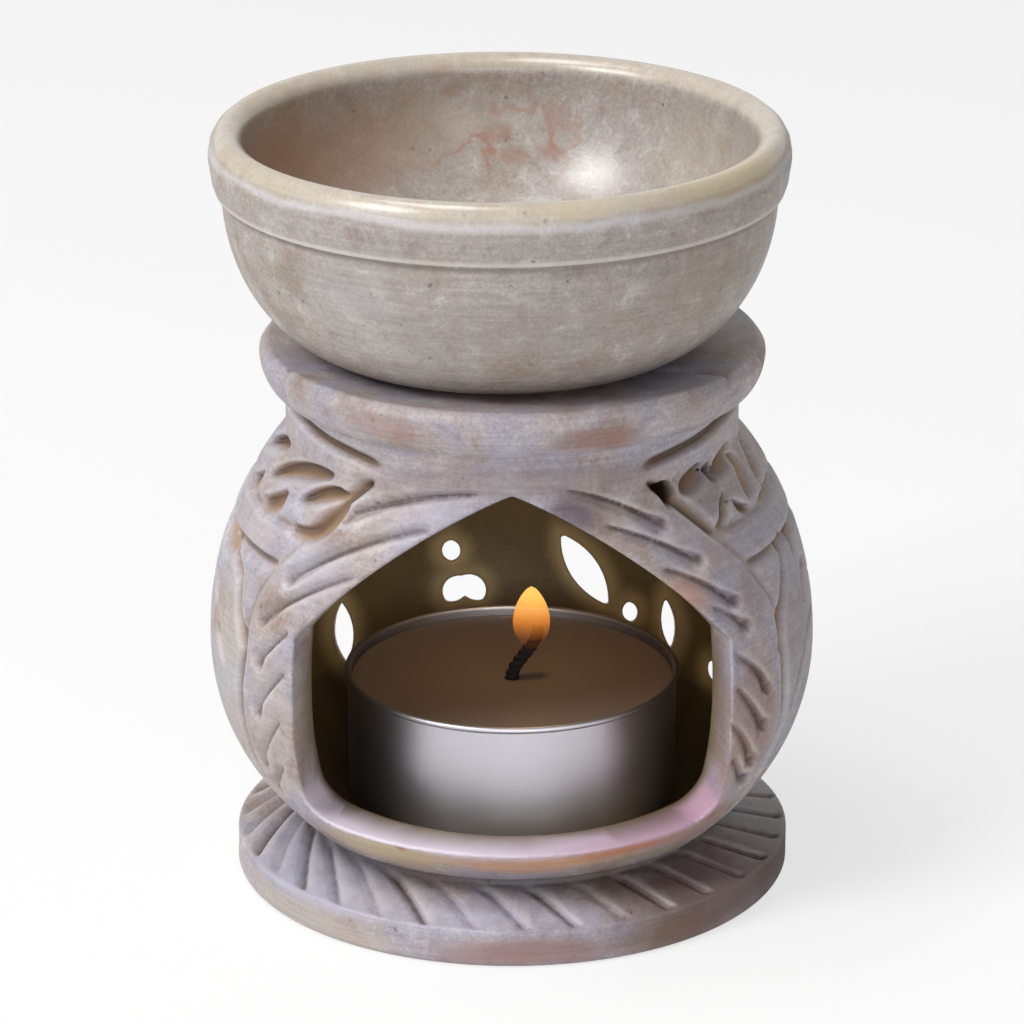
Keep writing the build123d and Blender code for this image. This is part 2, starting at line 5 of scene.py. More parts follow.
import bpy
import numpy as np
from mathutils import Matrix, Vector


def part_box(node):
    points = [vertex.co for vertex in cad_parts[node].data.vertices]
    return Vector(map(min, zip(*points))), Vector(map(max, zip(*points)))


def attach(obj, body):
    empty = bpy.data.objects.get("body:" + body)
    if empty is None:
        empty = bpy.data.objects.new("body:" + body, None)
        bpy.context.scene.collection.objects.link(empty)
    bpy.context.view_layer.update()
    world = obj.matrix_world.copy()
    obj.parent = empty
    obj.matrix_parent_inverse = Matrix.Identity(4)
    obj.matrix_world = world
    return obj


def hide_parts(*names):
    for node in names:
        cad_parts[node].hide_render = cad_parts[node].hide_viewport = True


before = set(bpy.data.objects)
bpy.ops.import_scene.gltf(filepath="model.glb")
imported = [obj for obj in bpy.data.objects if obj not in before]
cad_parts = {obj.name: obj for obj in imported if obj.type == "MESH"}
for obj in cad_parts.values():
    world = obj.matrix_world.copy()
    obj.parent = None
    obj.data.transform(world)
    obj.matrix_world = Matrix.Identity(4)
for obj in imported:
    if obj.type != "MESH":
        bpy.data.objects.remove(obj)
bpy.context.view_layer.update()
MM = 0.001


def box_mm(node):
    """Lowest and highest corner of a solid, in millimetres."""
    low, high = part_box(node)
    return np.array(low) / MM, np.array(high) / MM


body_high = box_mm("burner_body")[1]
bowl_low, bowl_high = box_mm("oil_bowl")
cup_low, cup_high = box_mm("candle_cup")
wax_low, wax_high = box_mm("candle_wax")
wick_low, wick_high = box_mm("candle_wick")

# Foot disc and undercut
BASE_RADIUS = 31.4
BASE_EDGE_HEIGHT = 4.4
BASE_EDGE_CHAMFER = 0.5
Z_UNDERCUT = 6.0
UNDERCUT_RADIUS = 22.6
BASE_CUTS = 32
BASE_CUT_SLANT = 30.0
BASE_CUT_MIDDLE = 27.5
BASE_CUT_DEPTH = 0.85

# Belly, neck and collar
BELLY_RADIUS = body_high[0]
BELLY_FOOT_RADIUS = 24.2
Z_BELLY = 7.2
Z_MID = 27.5
Z_NECK = 52.0
NECK_RADIUS = 25.3
Z_COLLAR = 57.1
Z_COLLAR_EDGE = 61.5
Z_COLLAR_TOP = body_high[2]
COLLAR_RADIUS = 28.15
COLLAR_EDGE = 0.9
SEAT_RADIUS = 18.0
Z_SEAT = bowl_low[2]
VENT_RADIUS = 13.0

# Candle chamber
CHAMBER_RADIUS = BELLY_RADIUS - 5.6
FLOOR_RADIUS = 20.2
Z_FLOOR = cup_low[2]
Z_DOME = 55.0

# Pointed doorway, measured on an upright plane in front of the axis
DOOR_PLANE = 0.7 * BELLY_RADIUS
DOOR_INNER = 0.38 * BELLY_RADIUS
DOOR_HALF_WIDTH = 23.8
DOOR_CHEEK_FLARE = 0.34
DOOR_CORNER = 3.2
DOOR_BOW = 1.5
DOOR_EDGE_ROUND = 0.35
Z_SILL = 12.6
SILL_FLARE = 0.1
Z_SHOULDER = 35.5
Z_APEX = 52.3
APEX_FLARE = 0.2

# Leaf band round the doorway: its outer edge as (height, angle), then its strokes from thin end to deep end
BAND_EDGE_LEFT = [
    (10, -63), (16, -63), (21.3, -62.5), (27, -61.7), (31, -60.5), (34.4, -60.8), (38, -59.5),
    (41.5, -55.8), (44.8, -50), (49.7, -42), (54, -33),
]
BAND_EDGE_RIGHT = [
    (10, 59), (18.5, 60), (20.7, 61.6), (22.7, 62.8), (27, 62), (32, 61.7), (37, 61),
    (42.6, 54.6), (47.8, 45), (51.2, 38), (54, 32),
]
PANEL_EDGES = [
    [(-77.5, 41.2), (-68.0, 38.5), (-65.3, 35.2), (-61.0, 31.5)],
    [(72.6, 42.4), (68.2, 38.5), (63.3, 35.2), (61.5, 31.5)],
]
STROKES_LEFT = [
    [(-5.3, 52.5), (-23, 51.4), (-40.3, 48.6)],
    [(-16.3, 49.2), (-34, 46.2), (-50.3, 41.0)],
    [(-32.2, 43.6), (-44, 40.4), (-56.0, 35.7)],
    [(-47.1, 35.9), (-52, 33.2), (-55.3, 30.9)],
    [(-46.6, 31.5), (-52, 28.2), (-55.9, 25.0)],
    [(-48.1, 25.6), (-54, 21.6), (-58.4, 17.9)],
    [(-50.3, 19.5), (-55, 16.8), (-58.0, 14.7)],
]
STROKES_RIGHT = [
    [(11.7, 53.1), (25, 51.2), (35.9, 48.3)],
    [(20.2, 49.4), (32, 47.2), (42.4, 44.1)],
    [(31.7, 44.5), (41, 42.2), (49.1, 38.9)],
    [(42.1, 39.4), (47, 37.9), (51.1, 36.0)],
    [(45.8, 33.9), (53.5, 30.4), (55.9, 28.0)],
    [(45.8, 30.2), (52.3, 26.1), (55.7, 23.6)],
    [(44.8, 26.0), (50.9, 22.2), (55.0, 19.2)],
    [(46.8, 21.4), (51, 18.8), (55.1, 16.8)],
]
STROKE_DEPTH = 1.3
STROKE_SLOPE = 2.0
STROKE_WALL = 0.32
STROKE_STOP = 1.0
STROKE_STOP_WIDTH = 1.8

# Leaf frieze under the neck: hollows as start, middle and end (angle, height) with a width,
# then one unit of it round the back
STRAP_LOW = 41.9
STRAP_HIGH = 45.7
FRIEZE_DEPTH = 1.6
FRIEZE_HOLLOWS = [
    ((-76.0, 48.4), (-66.0, 50.6), (-50.0, 51.6), 2.2),
    ((-72.0, 46.2), (-67.0, 47.0), (-62.6, 48.4), 2.7),
    ((-57.0, 48.3), (-50.5, 50.0), (-43.0, 50.3), 2.1),
    ((-56.0, 45.9), (-48.5, 46.4), (-42.0, 49.9), 2.2),
    ((-94.0, 49.3), (-85.0, 50.9), (-75.0, 51.5), 1.8),
    ((-87.0, 46.3), (-83.0, 46.8), (-79.0, 48.0), 2.4),
    ((44.6, 50.6), (49.0, 51.4), (55.6, 52.4), 2.3),
    ((51.0, 46.2), (55.3, 47.8), (58.4, 49.2), 1.3),
    ((59.6, 50.4), (63.5, 51.7), (72.5, 52.5), 2.3),
    ((67.0, 47.2), (69.0, 49.3), (72.0, 51.3), 3.0),
    ((76.0, 47.4), (78.8, 49.7), (84.5, 51.6), 2.4),
    ((71.5, 46.4), (77.5, 46.5), (86.0, 46.9), 1.5),
    ((59.8, 48.0), (62.2, 47.1), (65.6, 46.4), 1.2),
]
SIDE_HOLLOWS = [
    ((-96.0, 40.6), (-86.0, 40.9), (-76.0, 39.6), 3.4),
    ((-84.0, 36.2), (-81.0, 35.2), (-78.5, 33.6), 2.0),
    ((-76.0, 31.5), (-72.0, 29.8), (-69.5, 28.0), 1.8),
    ((84.0, 41.2), (80.5, 40.9), (77.0, 39.3), 1.8),
    ((84.0, 37.2), (80.0, 36.0), (77.6, 33.6), 2.0),
    ((83.0, 31.7), (75.0, 28.6), (66.8, 22.9), 1.6),
]
FRIEZE_UNIT = [
    ((-8.5, 48.2), (0.5, 50.7), (9.5, 51.5), 2.2),
    ((-6.5, 46.3), (-1.0, 46.7), (4.5, 48.6), 2.4),
]
FRIEZE_UNIT_ANGLES = [101.0 + 20.0 * k for k in range(8)]
NECK_GROOVE = [
    (30, 53.9), (36, 54.2), (46, 54.7), (54, 55.0), (61, 55.4), (69, 55.9), (90, 56.4), (180, 56.4),
]

# Grooves of the belly: depth, reach beyond their line and reach before it
JAMB_GROOVE = (1.8, 1.25, 0.5)
JAMB_FADE = 2.0 / 3.0
FRIEZE_EDGE = (FRIEZE_DEPTH, 2.2, 0.35)
STRAP_STEP = (0.6, 3.5, 0.35)
STRAP_GROOVE = (1.1, 0.4, 1.0)
STRAP_TOP = (0.7, 1.4, 0.4)
NECK_CUT = (1.5, 1.3, 0.45)
PANEL_CUT = 1.5
PANEL_REACH = 0.95

# Holes carved right through: angle, height, length, width and tilt; the first are square to the wall,
# the others run straight back and down from the chamber
PIERCED_DIP = 20.0
PIERCED_REACH = 0.82 * BELLY_RADIUS
PIERCED_FRONT = [
    (40.6, 50.8, 2.8, 2.2, 62.0),
    (57.5, 51.3, 2.2, 1.6, 40.0),
    (55.0, 47.7, 3.4, 1.2, 46.0),
]
PIERCED_SIDE = [
    (-110.0, 28.3, 4.4, 2.4, 60.0),
    (107.0, 28.3, 4.4, 2.4, -60.0),
]
PIERCED_BACK = [
    (-165.0, 26.7, 2.6, 2.2, 90.0),
    (-170.5, 21.8, 3.8, 2.8, 55.0),
    (-166.0, 21.8, 3.8, 2.8, -55.0),
    (162.0, 24.4, 10.6, 3.4, 58.0),
    (150.0, 20.0, 2.6, 1.8, 80.0),
    (138.8, 19.8, 6.4, 1.6, 84.0),
    (121.0, 16.2, 3.6, 1.9, 60.0),
    (-135.0, 19.2, 7.6, 2.2, 86.0),
]

# Carved panels on the sides and the back
FLOWER_ANGLES = [-107.0, 107.0, 180.0]
FLOWER_HEIGHT = Z_MID + 1.0
FLOWER_PETALS = 6
FLOWER_INNER = 3.6
FLOWER_OUTER = 11.6
FLOWER_RING = 13.4
FLOWER_RING_CUT = 0.7
FLOWER_PETAL_WIDTH = 3.2
FLOWER_PETAL_CUT = 1.1
FLOWER_SPOT = (8.0, 11.4)
FLOWER_SPOT_WIDTH = 2.4
FLOWER_SPOT_CUT = 0.9
HERRINGBONE_ANGLES = [-143.5, 143.5]
HERRINGBONE_ROWS = 7
PANEL_LOW = 12.0

# Sampling of the carving map and of the stone
ANGLE_STEPS = 2160
MAP_LOW = 5.0
MAP_HIGH = 58.0
MAP_STEP = 0.1
TABLE_STEP = 0.2
STONE_STEP = 0.32
BODY_TRIANGLES = 190000

# Bowl
BOWL_FOOT_RADIUS = 16.0
BOWL_SIDE_RADIUS = 30.6
Z_LIP = 80.0
Z_RIM = bowl_high[2]
BOWL_MIDDLE = 0.5 * (bowl_low[0] + bowl_high[0])
LIP_RADIUS = bowl_high[0] - BOWL_MIDDLE
LIP_WIDTH = 3.7
HOLLOW_RADIUS = LIP_RADIUS - LIP_WIDTH
HOLLOW_FLAT = 12.0
Z_HOLLOW_TOP = Z_RIM - 1.6
Z_BOWL_FLOOR = 66.2

# Tealight
CUP_RADIUS = cup_high[0]
CUP_BEAD = 0.3
CUP_WALL = 0.4
CUP_CORNER = 1.2
Z_CUP_RIM = cup_high[2]
WAX_RADIUS = wax_high[0]
Z_WAX_LOW = wax_low[2]
Z_WAX_TOP = wax_high[2]
WICK_BORE = 0.95
TAB_CLEAR = 6.6
TUBE_CLEAR = 1.55
Z_TAB_CLEAR = 8.9
Z_TUBE_CLEAR = 11.9
WICK_STRAND = 0.36
WICK_BRAID = 0.4
WICK_TURNS = 7.0
FLAME_LOW = 25.0
FLAME_HIGH = 32.6
FLAME_WIDTH = 4.2
FLAME_MIDDLE = 2.2
GLOW_HEIGHT = 43.0

# Colours of the stone by how cloudy it is, and its coloured patches: centre, radii, strength and colour; on
# the body some patches are painted light, paler on the lit left and darker on the shaded right of the foot
BODY_TONES = [
    (0.28, "#86746d"), (0.4, "#a3928c"), (0.48, "#aea4a4"),
    (0.56, "#a59fab"), (0.64, "#b3aeb8"), (0.74, "#bebdca"),
]
BOWL_TONES = [
    (0.28, "#8d7c6b"), (0.4, "#a1958a"), (0.48, "#aaa19a"),
    (0.56, "#a69f9b"), (0.64, "#b4ada7"), (0.74, "#b9b5b3"),
]
BODY_STAINS_AND_PAINTED_LIGHT = [
    ((8.8, -25.5, 59.5), (6.5, 5.0, 2.0), 0.75, "#8a6350"),
    ((-13.0, -23.5, 60.0), (6.0, 5.0, 2.0), 0.45, "#9d7b72"),
    ((0.0, -25.0, 54.0), (24.0, 8.0, 2.4), 0.5, "#7c6a62"),
    ((-16.0, -24.5, 10.4), (13.0, 8.0, 3.0), 0.8, "#cbb791"),
    ((3.0, -28.0, 10.4), (13.0, 6.0, 1.8), 0.8, "#d2a078"),
    ((14.0, -26.0, 11.2), (9.0, 6.0, 1.3), 0.8, "#c07c5e"),
    ((17.0, -23.0, 9.0), (9.0, 7.0, 1.5), 0.5, "#ab9c86"),
    ((21.0, -20.0, 12.0), (6.0, 6.0, 4.0), 0.6, "#a97f6a"),
    ((-12.4, -27.0, 11.6), (0.9, 1.6, 0.8), 0.9, "#9a4630"),
    ((18.2, -25.8, 41.0), (7.0, 4.0, 2.6), 0.65, "#b98d7d"),
    ((6.5, -26.0, 50.6), (4.0, 5.0, 2.4), 0.75, "#5b5062"),
    ((15.5, -23.5, 48.5), (4.5, 4.0, 1.6), 0.5, "#928ca2"),
    ((18.5, -23.5, 45.0), (4.0, 4.0, 1.5), 0.5, "#9d99ae"),
    ((23.0, -22.6, 39.5), (3.0, 4.0, 2.4), 0.55, "#8e8299"),
    ((22.5, -19.5, 45.0), (4.0, 5.0, 3.0), 0.5, "#958077"),
    ((26.5, -18.5, 39.0), (4.0, 5.0, 4.0), 0.5, "#937d76"),
    ((26.4, -21.0, 26.0), (4.0, 5.0, 9.0), 0.7, "#94706a"),
    ((25.0, -21.9, 19.0), (4.0, 5.0, 4.0), 0.5, "#a5836f"),
    ((21.5, -23.5, 31.0), (2.2, 4.0, 6.0), 0.5, "#857786"),
    ((21.0, -23.5, 20.0), (2.6, 4.0, 6.0), 0.55, "#9b7f8c"),
    ((31.5, -11.0, 32.0), (4.0, 7.0, 10.0), 0.45, "#8f8079"),
    ((21.0, -17.0, 50.0), (6.0, 8.0, 3.0), 0.5, "#847062"),
    # Dark patches on the right of the foot: painted shade.
    ((24.0, -20.0, 4.0), (18.0, 16.0, 4.0), 0.85, "#604a46"),
    ((31.0, -6.0, 4.0), (8.0, 14.0, 6.0), 0.7, "#544a43"),
    ((7.0, -28.0, 5.2), (4.0, 3.0, 1.6), 0.6, "#b3afc4"),
    ((-8.0, -25.0, 49.0), (7.0, 6.0, 4.0), 0.55, "#a5a1b5"),
    # Pale lilac patch on the left of the band: the stone's lilac made paler as painted light.
    ((-22.0, -22.0, 42.5), (7.0, 6.0, 4.0), 0.55, "#b3b2c2"),
    ((-18.5, -25.5, 40.0), (5.0, 4.0, 2.4), 0.5, "#a8999a"),
    ((-28.5, -13.0, 43.8), (4.0, 6.0, 2.0), 0.45, "#bfb3b0"),
    ((-29.5, -14.5, 36.5), (3.0, 4.0, 5.0), 0.5, "#a19da6"),
    ((-26.5, -20.8, 26.0), (4.0, 5.0, 8.0), 0.5, "#b3a9a2"),
    ((-21.0, -23.5, 26.0), (2.6, 4.0, 9.0), 0.5, "#b3a48f"),
    ((-31.5, -12.0, 28.0), (4.0, 6.0, 10.0), 0.5, "#b9b6b0"),
    # Pale lilac patches on the left of the foot: the stone's lilac made paler as painted light.
    ((-22.0, -20.0, 5.2), (13.0, 16.0, 2.2), 0.75, "#bab9cb"),
    ((-6.0, -28.0, 5.4), (12.0, 5.0, 2.0), 0.7, "#b5b1c4"),
    ((-22.0, -22.0, 1.2), (14.0, 14.0, 2.4), 0.75, "#b5aaa0"),
    ((2.0, -31.0, 1.6), (14.0, 4.0, 2.0), 0.8, "#93736c"),
    ((19.0, -26.0, 1.6), (9.0, 8.0, 2.2), 0.75, "#705648"),
]
BOWL_STAINS = [
    ((-22.0, 9.0, 77.0), (17.0, 18.0, 11.0), 0.8, "#a67c56"),
    ((-12.0, 24.0, 79.0), (9.0, 8.0, 6.0), 0.45, "#a08468"),
    ((24.0, -17.0, 86.0), (12.0, 10.0, 2.0), 0.6, "#b39a66"),
    ((7.0, -29.0, 86.2), (6.0, 4.0, 1.2), 0.4, "#c0b08c"),
    ((20.0, -20.0, 75.0), (14.0, 12.0, 8.0), 0.35, "#94806c"),
    ((-14.0, -25.0, 76.0), (9.0, 8.0, 8.0), 0.35, "#a5a2a4"),
    ((0.0, -28.0, 72.0), (16.0, 8.0, 5.0), 0.3, "#8c8178"),
    ((22.0, 12.0, 78.0), (10.0, 14.0, 8.0), 0.4, "#b3aa98"),
]
BOWL_SPOTS = [
    ((-1.8, 27.0, 78.0), (2.2, 3.0, 1.5), 0.5, "#8d5f45"),
    ((0.2, 26.0, 75.4), (2.0, 3.0, 1.3), 0.45, "#8f5b40"),
    ((4.8, 26.0, 76.2), (1.8, 3.0, 1.2), 0.45, "#915c40"),
    ((-8.6, 28.5, 85.2), (2.2, 2.5, 1.2), 0.5, "#976a50"),
    ((-6.8, 28.0, 83.0), (1.6, 2.5, 1.2), 0.4, "#93664b"),
]
BOWL_VEINS = [
    ((0.0, 26.0, 77.5), (11.0, 8.0, 5.5), 0.55, "#9a6142"),
    ((-22.0, 4.0, 76.0), (9.0, 12.0, 8.0), 0.45, "#96623f"),
]

# Camera of the photograph, in metres and radians
CAMERA_PLACE = (0.0, -0.5254, 0.2354)
CAMERA_PITCH = 0.3535
CAMERA_LENS = 175.5

# Paper, room and lamps: name, place, aim, width and height in metres, power in watts
PAPER_HALF = 3.0
ROOM_LIGHT = 0.19
LAMPS = [
    ("key", (-0.62, -0.42, 0.72), (0, 0, 0.05), 0.4, 0.4, 6.4),
    ("top", (-0.2, -0.04, 0.95), (0, 0, 0.08), 0.42, 0.28, 3.8),
    ("front", (0.12, -1.0, 0.26), (0, 0, 0.03), 0.7, 0.5, 2.2),
]


# Turned shapes
def ellipse_half(rise, end, wide):
    """Half axis of the ellipse that falls from the wide radius to the end radius over the rise."""
    return rise / math.sqrt(1.0 - (end / wide) ** 2)


def turned_side(foot, wide, top, z_foot, z_mid, z_top, steps=24):
    """Points up the side of a belly, elliptical below and above its widest circle."""
    low = ellipse_half(z_mid - z_foot, foot, wide)
    high = ellipse_half(z_top - z_mid, top, wide)
    low_turn = np.linspace(-math.acos(foot / wide), 0, steps)
    high_turn = np.linspace(0, math.acos(top / wide), steps)[1:]
    lower = [(wide * math.cos(a), z_mid + low * math.sin(a)) for a in low_turn]
    upper = [(wide * math.cos(a), z_mid + high * math.sin(a)) for a in high_turn]
    return lower + upper


def quarter(centre, reach, rise, start, end, steps=20):
    """Points on an elliptical arc, angles in degrees."""
    turn = np.radians(np.linspace(start, end, steps))
    return [(centre[0] + reach * math.cos(a), centre[1] + rise * math.sin(a)) for a in turn]


def belly_skin(z):
    """Radius of the belly's uncarved skin at a height."""
    low = ellipse_half(Z_MID - Z_BELLY, BELLY_FOOT_RADIUS, BELLY_RADIUS)
    high = ellipse_half(Z_NECK - Z_MID, NECK_RADIUS, BELLY_RADIUS)
    half = np.where(z < Z_MID, low, high)
    radius = BELLY_RADIUS * np.sqrt(np.clip(1.0 - ((z - Z_MID) / half) ** 2, 0.0, 1.0))
    return np.where(z > Z_NECK, NECK_RADIUS, radius)


def body_outline():
    """Closed outline of the turned stone before it is hollowed and carved."""
    points = [(0, 0), (BASE_RADIUS - BASE_EDGE_CHAMFER, 0), (BASE_RADIUS, BASE_EDGE_CHAMFER)]
    points += [(BASE_RADIUS, BASE_EDGE_HEIGHT), (UNDERCUT_RADIUS, Z_UNDERCUT), (UNDERCUT_RADIUS, Z_BELLY)]
    points += turned_side(BELLY_FOOT_RADIUS, BELLY_RADIUS, NECK_RADIUS, Z_BELLY, Z_MID, Z_NECK)
    overhang = COLLAR_RADIUS - NECK_RADIUS
    points += quarter((NECK_RADIUS, Z_COLLAR_EDGE), overhang, Z_COLLAR_EDGE - Z_COLLAR, -90, 0)
    points += [(COLLAR_RADIUS - COLLAR_EDGE, Z_COLLAR_TOP), (SEAT_RADIUS, Z_SEAT), (0, Z_SEAT)]
    return points


def chamber_outline():
    """Closed outline of the candle chamber with the vent above it."""
    points = [(0, Z_FLOOR)]
    points += turned_side(FLOOR_RADIUS, CHAMBER_RADIUS, VENT_RADIUS, Z_FLOOR, Z_MID, Z_DOME)
    return points + [(VENT_RADIUS, Z_COLLAR_TOP + 1), (0, Z_COLLAR_TOP + 1)]


TABLE_RADII = np.arange(0.0, BELLY_RADIUS + 4.0, TABLE_STEP)
TABLE_HEIGHTS = np.arange(-3.0, Z_COLLAR_TOP + 4.0, TABLE_STEP)


def softened(table, rounds, ends):
    """Table evened out with its neighbours, going on past its ends in the given way."""
    for _ in range(rounds):
        for axis in (0, 1):
            count = table.shape[axis]
            padded = np.pad(table, [(1, 1) if k == axis else (0, 0) for k in (0, 1)], mode=ends)
            sides = padded.take(range(count), axis) + padded.take(range(2, count + 2), axis)
            table = 0.5 * table + 0.25 * sides
    return table


def distance_table(outline):
    """Signed distance from a closed turned outline, negative inside, its corners a little worn."""
    r, z = np.meshgrid(TABLE_RADII, TABLE_HEIGHTS, indexing="ij")
    nearest = np.full(r.shape, 1e9)
    inside = np.zeros(r.shape, bool)
    for (r0, z0), (r1, z1) in zip(outline, outline[1:] + outline[:1]):
        if r0 == 0 and r1 == 0:
            continue
        dr, dz = r1 - r0, z1 - z0
        share = np.clip(((r - r0) * dr + (z - z0) * dz) / (dr * dr + dz * dz), 0.0, 1.0)
        nearest = np.minimum(nearest, np.hypot(r - r0 - share * dr, z - z0 - share * dz))
        if dz != 0:
            inside ^= ((z0 > z) != (z1 > z)) & (r < r0 + (z - z0) * dr / dz)
    return softened(np.where(inside, -nearest, nearest), 1, "edge")


def between(table, row, column):
    """Table value between its cells."""
    row = np.clip(row, 0, table.shape[0] - 1.001)
    column = np.clip(column, 0, table.shape[1] - 1.001)
    i, j = row.astype(int), column.astype(int)
    a, b = row - i, column - j
    upper = table[i, j] * (1 - b) + table[i, j + 1] * b
    lower = table[i + 1, j] * (1 - b) + table[i + 1, j + 1] * b
    return upper * (1 - a) + lower * a


def ease(value, low, high):
    """Smooth step from 0 at low to 1 at high."""
    share = np.clip((value - low) / (high - low), 0.0, 1.0)
    return share * share * (3.0 - 2.0 * share)


# Carving map: how deep the carver cut below the turned skin, by height and angle
MAP_HEIGHTS = np.arange(MAP_LOW, MAP_HIGH, MAP_STEP)
MAP_ANGLES = -180.0 + 360.0 * np.arange(ANGLE_STEPS) / ANGLE_STEPS
carving = np.zeros((len(MAP_HEIGHTS), ANGLE_STEPS))
hollowed = np.zeros(carving.shape)
grooved = np.zeros(carving.shape)


def turn_from(angle):
    """Angle of every map column from a given one, between -180 and 180."""
    return (MAP_ANGLES - angle + 180.0) % 360.0 - 180.0


def follow(line, reach):
    """Map window round a line of (angle, height) points: share along it, mm from it, mm left of it."""
    angle = sum(point[0] for point in line) / len(line)
    height = sum(point[1] for point in line) / len(line)
    radius = float(belly_skin(height))
    slope = float(belly_skin(height + 0.5) - belly_skin(height - 0.5))
    stretch = math.hypot(1.0, slope)
    path = [(math.radians(a - angle) * radius, (h - height) * stretch) for a, h in line]
    wide = max(abs(u) for u, v in path) + reach
    tall = max(abs(v) for u, v in path) + reach
    across = np.radians(turn_from(angle)) * radius
    up = (MAP_HEIGHTS - height) * stretch
    rows = np.flatnonzero(np.abs(up) < tall)
    columns = np.flatnonzero(np.abs(across) < wide)
    u, v = np.meshgrid(across[columns], up[rows])
    lengths = [math.dist(p, q) for p, q in zip(path, path[1:])]
    nearest = np.full(u.shape, 1e9)
    share = np.zeros(u.shape)
    left = np.zeros(u.shape)
    run = 0.0
    for (u0, v0), (u1, v1), length in zip(path, path[1:], lengths):
        du, dv = (u1 - u0) / length, (v1 - v0) / length
        along = (u - u0) * du + (v - v0) * dv
        kept = np.clip(along, 0.0, length)
        gap = np.hypot(u - u0 - kept * du, v - v0 - kept * dv)
        side = (v - v0) * du - (u - u0) * dv
        closer = gap < nearest
        nearest = np.where(closer, gap, nearest)
        share = np.where(closer, (run + along) / sum(lengths), share)
        left = np.where(closer, side, left)
        run += length
    return np.ix_(rows, columns), share, nearest, left


def sink(window, depth):
    """Cuts at least this deep in a window of the map."""
    carving[window] = np.maximum(carving[window], depth)


def bent(start, middle, end, steps=10):
    """Points along an even curve through three points."""
    shares = np.linspace(0.0, 1.0, steps + 1)
    weights = [((1 - t) * (1 - 2 * t), 4 * t * (1 - t), t * (2 * t - 1)) for t in shares]
    return [tuple(a * p + b * q + c * r for p, q, r in zip(start, middle, end)) for a, b, c in weights]


def cut_scoop(line, width, depth):
    """Scoops a crescent hollow, steep on the left of its line and sloping gently up on the right."""
    window, share, gap, left = follow(line, width)
    taper = np.sqrt(np.clip(1.0 - np.abs(2.0 * share - 1.0) ** 2.5, 0.0, 1.0))
    steep = 0.36 * width * taper + 0.01
    gentle = 0.74 * width * taper + 0.01
    section = np.where(left > 0, 1.0 - (left / steep) ** 2, 1.0 - (left / gentle) ** 2)
    sink(window, depth * (0.55 + 0.45 * taper) * np.clip(section, 0.0, 1.0))


def cut_gouge(line, width, depth):
    """Scoops a teardrop hollow, thin at the start of the line and deep at its end."""
    window, share, gap, left = follow(line, width)
    grow = np.clip(share, 0.0, 1.0)
    half = 0.5 * width * (0.12 + 0.88 * np.sqrt(grow))
    bowl = np.clip(1.0 - (gap / half) ** 2, 0.0, 1.0)
    sink(window, depth * (0.25 + 0.75 * grow) * bowl)


def cut_leaf_stroke(line):
    """One stroke of the leaf band: steep on its left, sloping on its right, with a spoon at the end."""
    window, share, gap, left = follow(bent(*line), STROKE_SLOPE)
    grow = np.clip(share, 0.0, 1.0)
    slope = 1.0 + left / (STROKE_SLOPE * (0.5 + 0.5 * grow))
    section = np.where(left > 0, 1.0 - left / STROKE_WALL, np.clip(slope, 0.0, 1.0) ** 1.3)
    ends = ease(share, -0.02, 0.15) * (1.0 - ease(share, 0.97, 1.06))
    sink(window, STROKE_DEPTH * (0.45 + 0.55 * grow) * np.clip(section, 0.0, 1.0) * ends)
    (a0, h0), (a1, h1) = bent(*line)[7], line[-1]
    cut_gouge([(a0, h0), (a1, h1)], STROKE_STOP_WIDTH, STROKE_STOP)


def two_slopes(offset, beyond, before):
    """Section of a groove: 1 on its line, falling to 0 at these distances beyond it and before it."""
    return np.clip(np.where(offset > 0, 1.0 - offset / beyond, 1.0 + offset / before), 0.0, 1.0)


def cut_groove(offset, cut, share):
    """Cuts a groove of (depth, reach beyond its line, reach before it) over a share of the map."""
    depth, beyond, before = cut
    carving[:] = np.maximum(carving, depth * two_slopes(offset, beyond, before) * share)


def carve_band_edges():
    """Recessed frieze above the strap, and the groove that sets the leaf band off from the sides."""
    heights = MAP_HEIGHTS[:, None]
    radius = belly_skin(heights)
    outside = np.full(carving.shape, -1e9)
    for edge in (BAND_EDGE_LEFT, BAND_EDGE_RIGHT):
        edge_angle = np.interp(MAP_HEIGHTS, [h for h, a in edge], [a for h, a in edge])[:, None]
        side = np.sign(edge_angle)
        beyond = np.radians(side * (MAP_ANGLES[None, :] - edge_angle)) * radius
        beyond = np.where(side * MAP_ANGLES[None, :] > 0, beyond, -1e9)
        outside = np.maximum(outside, beyond)
    below_strap = 1.0 - ease(heights, STRAP_LOW - 0.2, STRAP_LOW + 0.2)
    past_strap = ease(heights, STRAP_HIGH - 0.2, STRAP_HIGH + 0.4)
    off_band = ease(outside, 0.0, 1.0)
    cut_groove(outside, JAMB_GROOVE, below_strap * (1.0 - JAMB_FADE * ease(heights, 32.0, Z_SHOULDER)))
    cut_groove(outside, FRIEZE_EDGE, past_strap * (1.0 - ease(heights, 51.5, 53.0)))
    cut_groove(outside, STRAP_STEP, (1.0 - below_strap) * (1.0 - past_strap))
    cut_groove(heights - STRAP_LOW, STRAP_GROOVE, off_band)
    cut_groove(heights - STRAP_HIGH, STRAP_TOP, off_band)
    turns = np.abs(MAP_ANGLES)
    neck_height = np.interp(turns, [a for a, h in NECK_GROOVE], [h for a, h in NECK_GROOVE])[None, :]
    cut_groove(heights - neck_height, NECK_CUT, ease(turns, 30.0, 40.0)[None, :])
    for edge in PANEL_EDGES:
        window, share, gap, left = follow(edge, 2.0)
        sink(window, PANEL_CUT * np.clip(1.0 - gap / PANEL_REACH, 0.0, 1.0) * (1.0 - ease(share, 0.98, 1.05)))


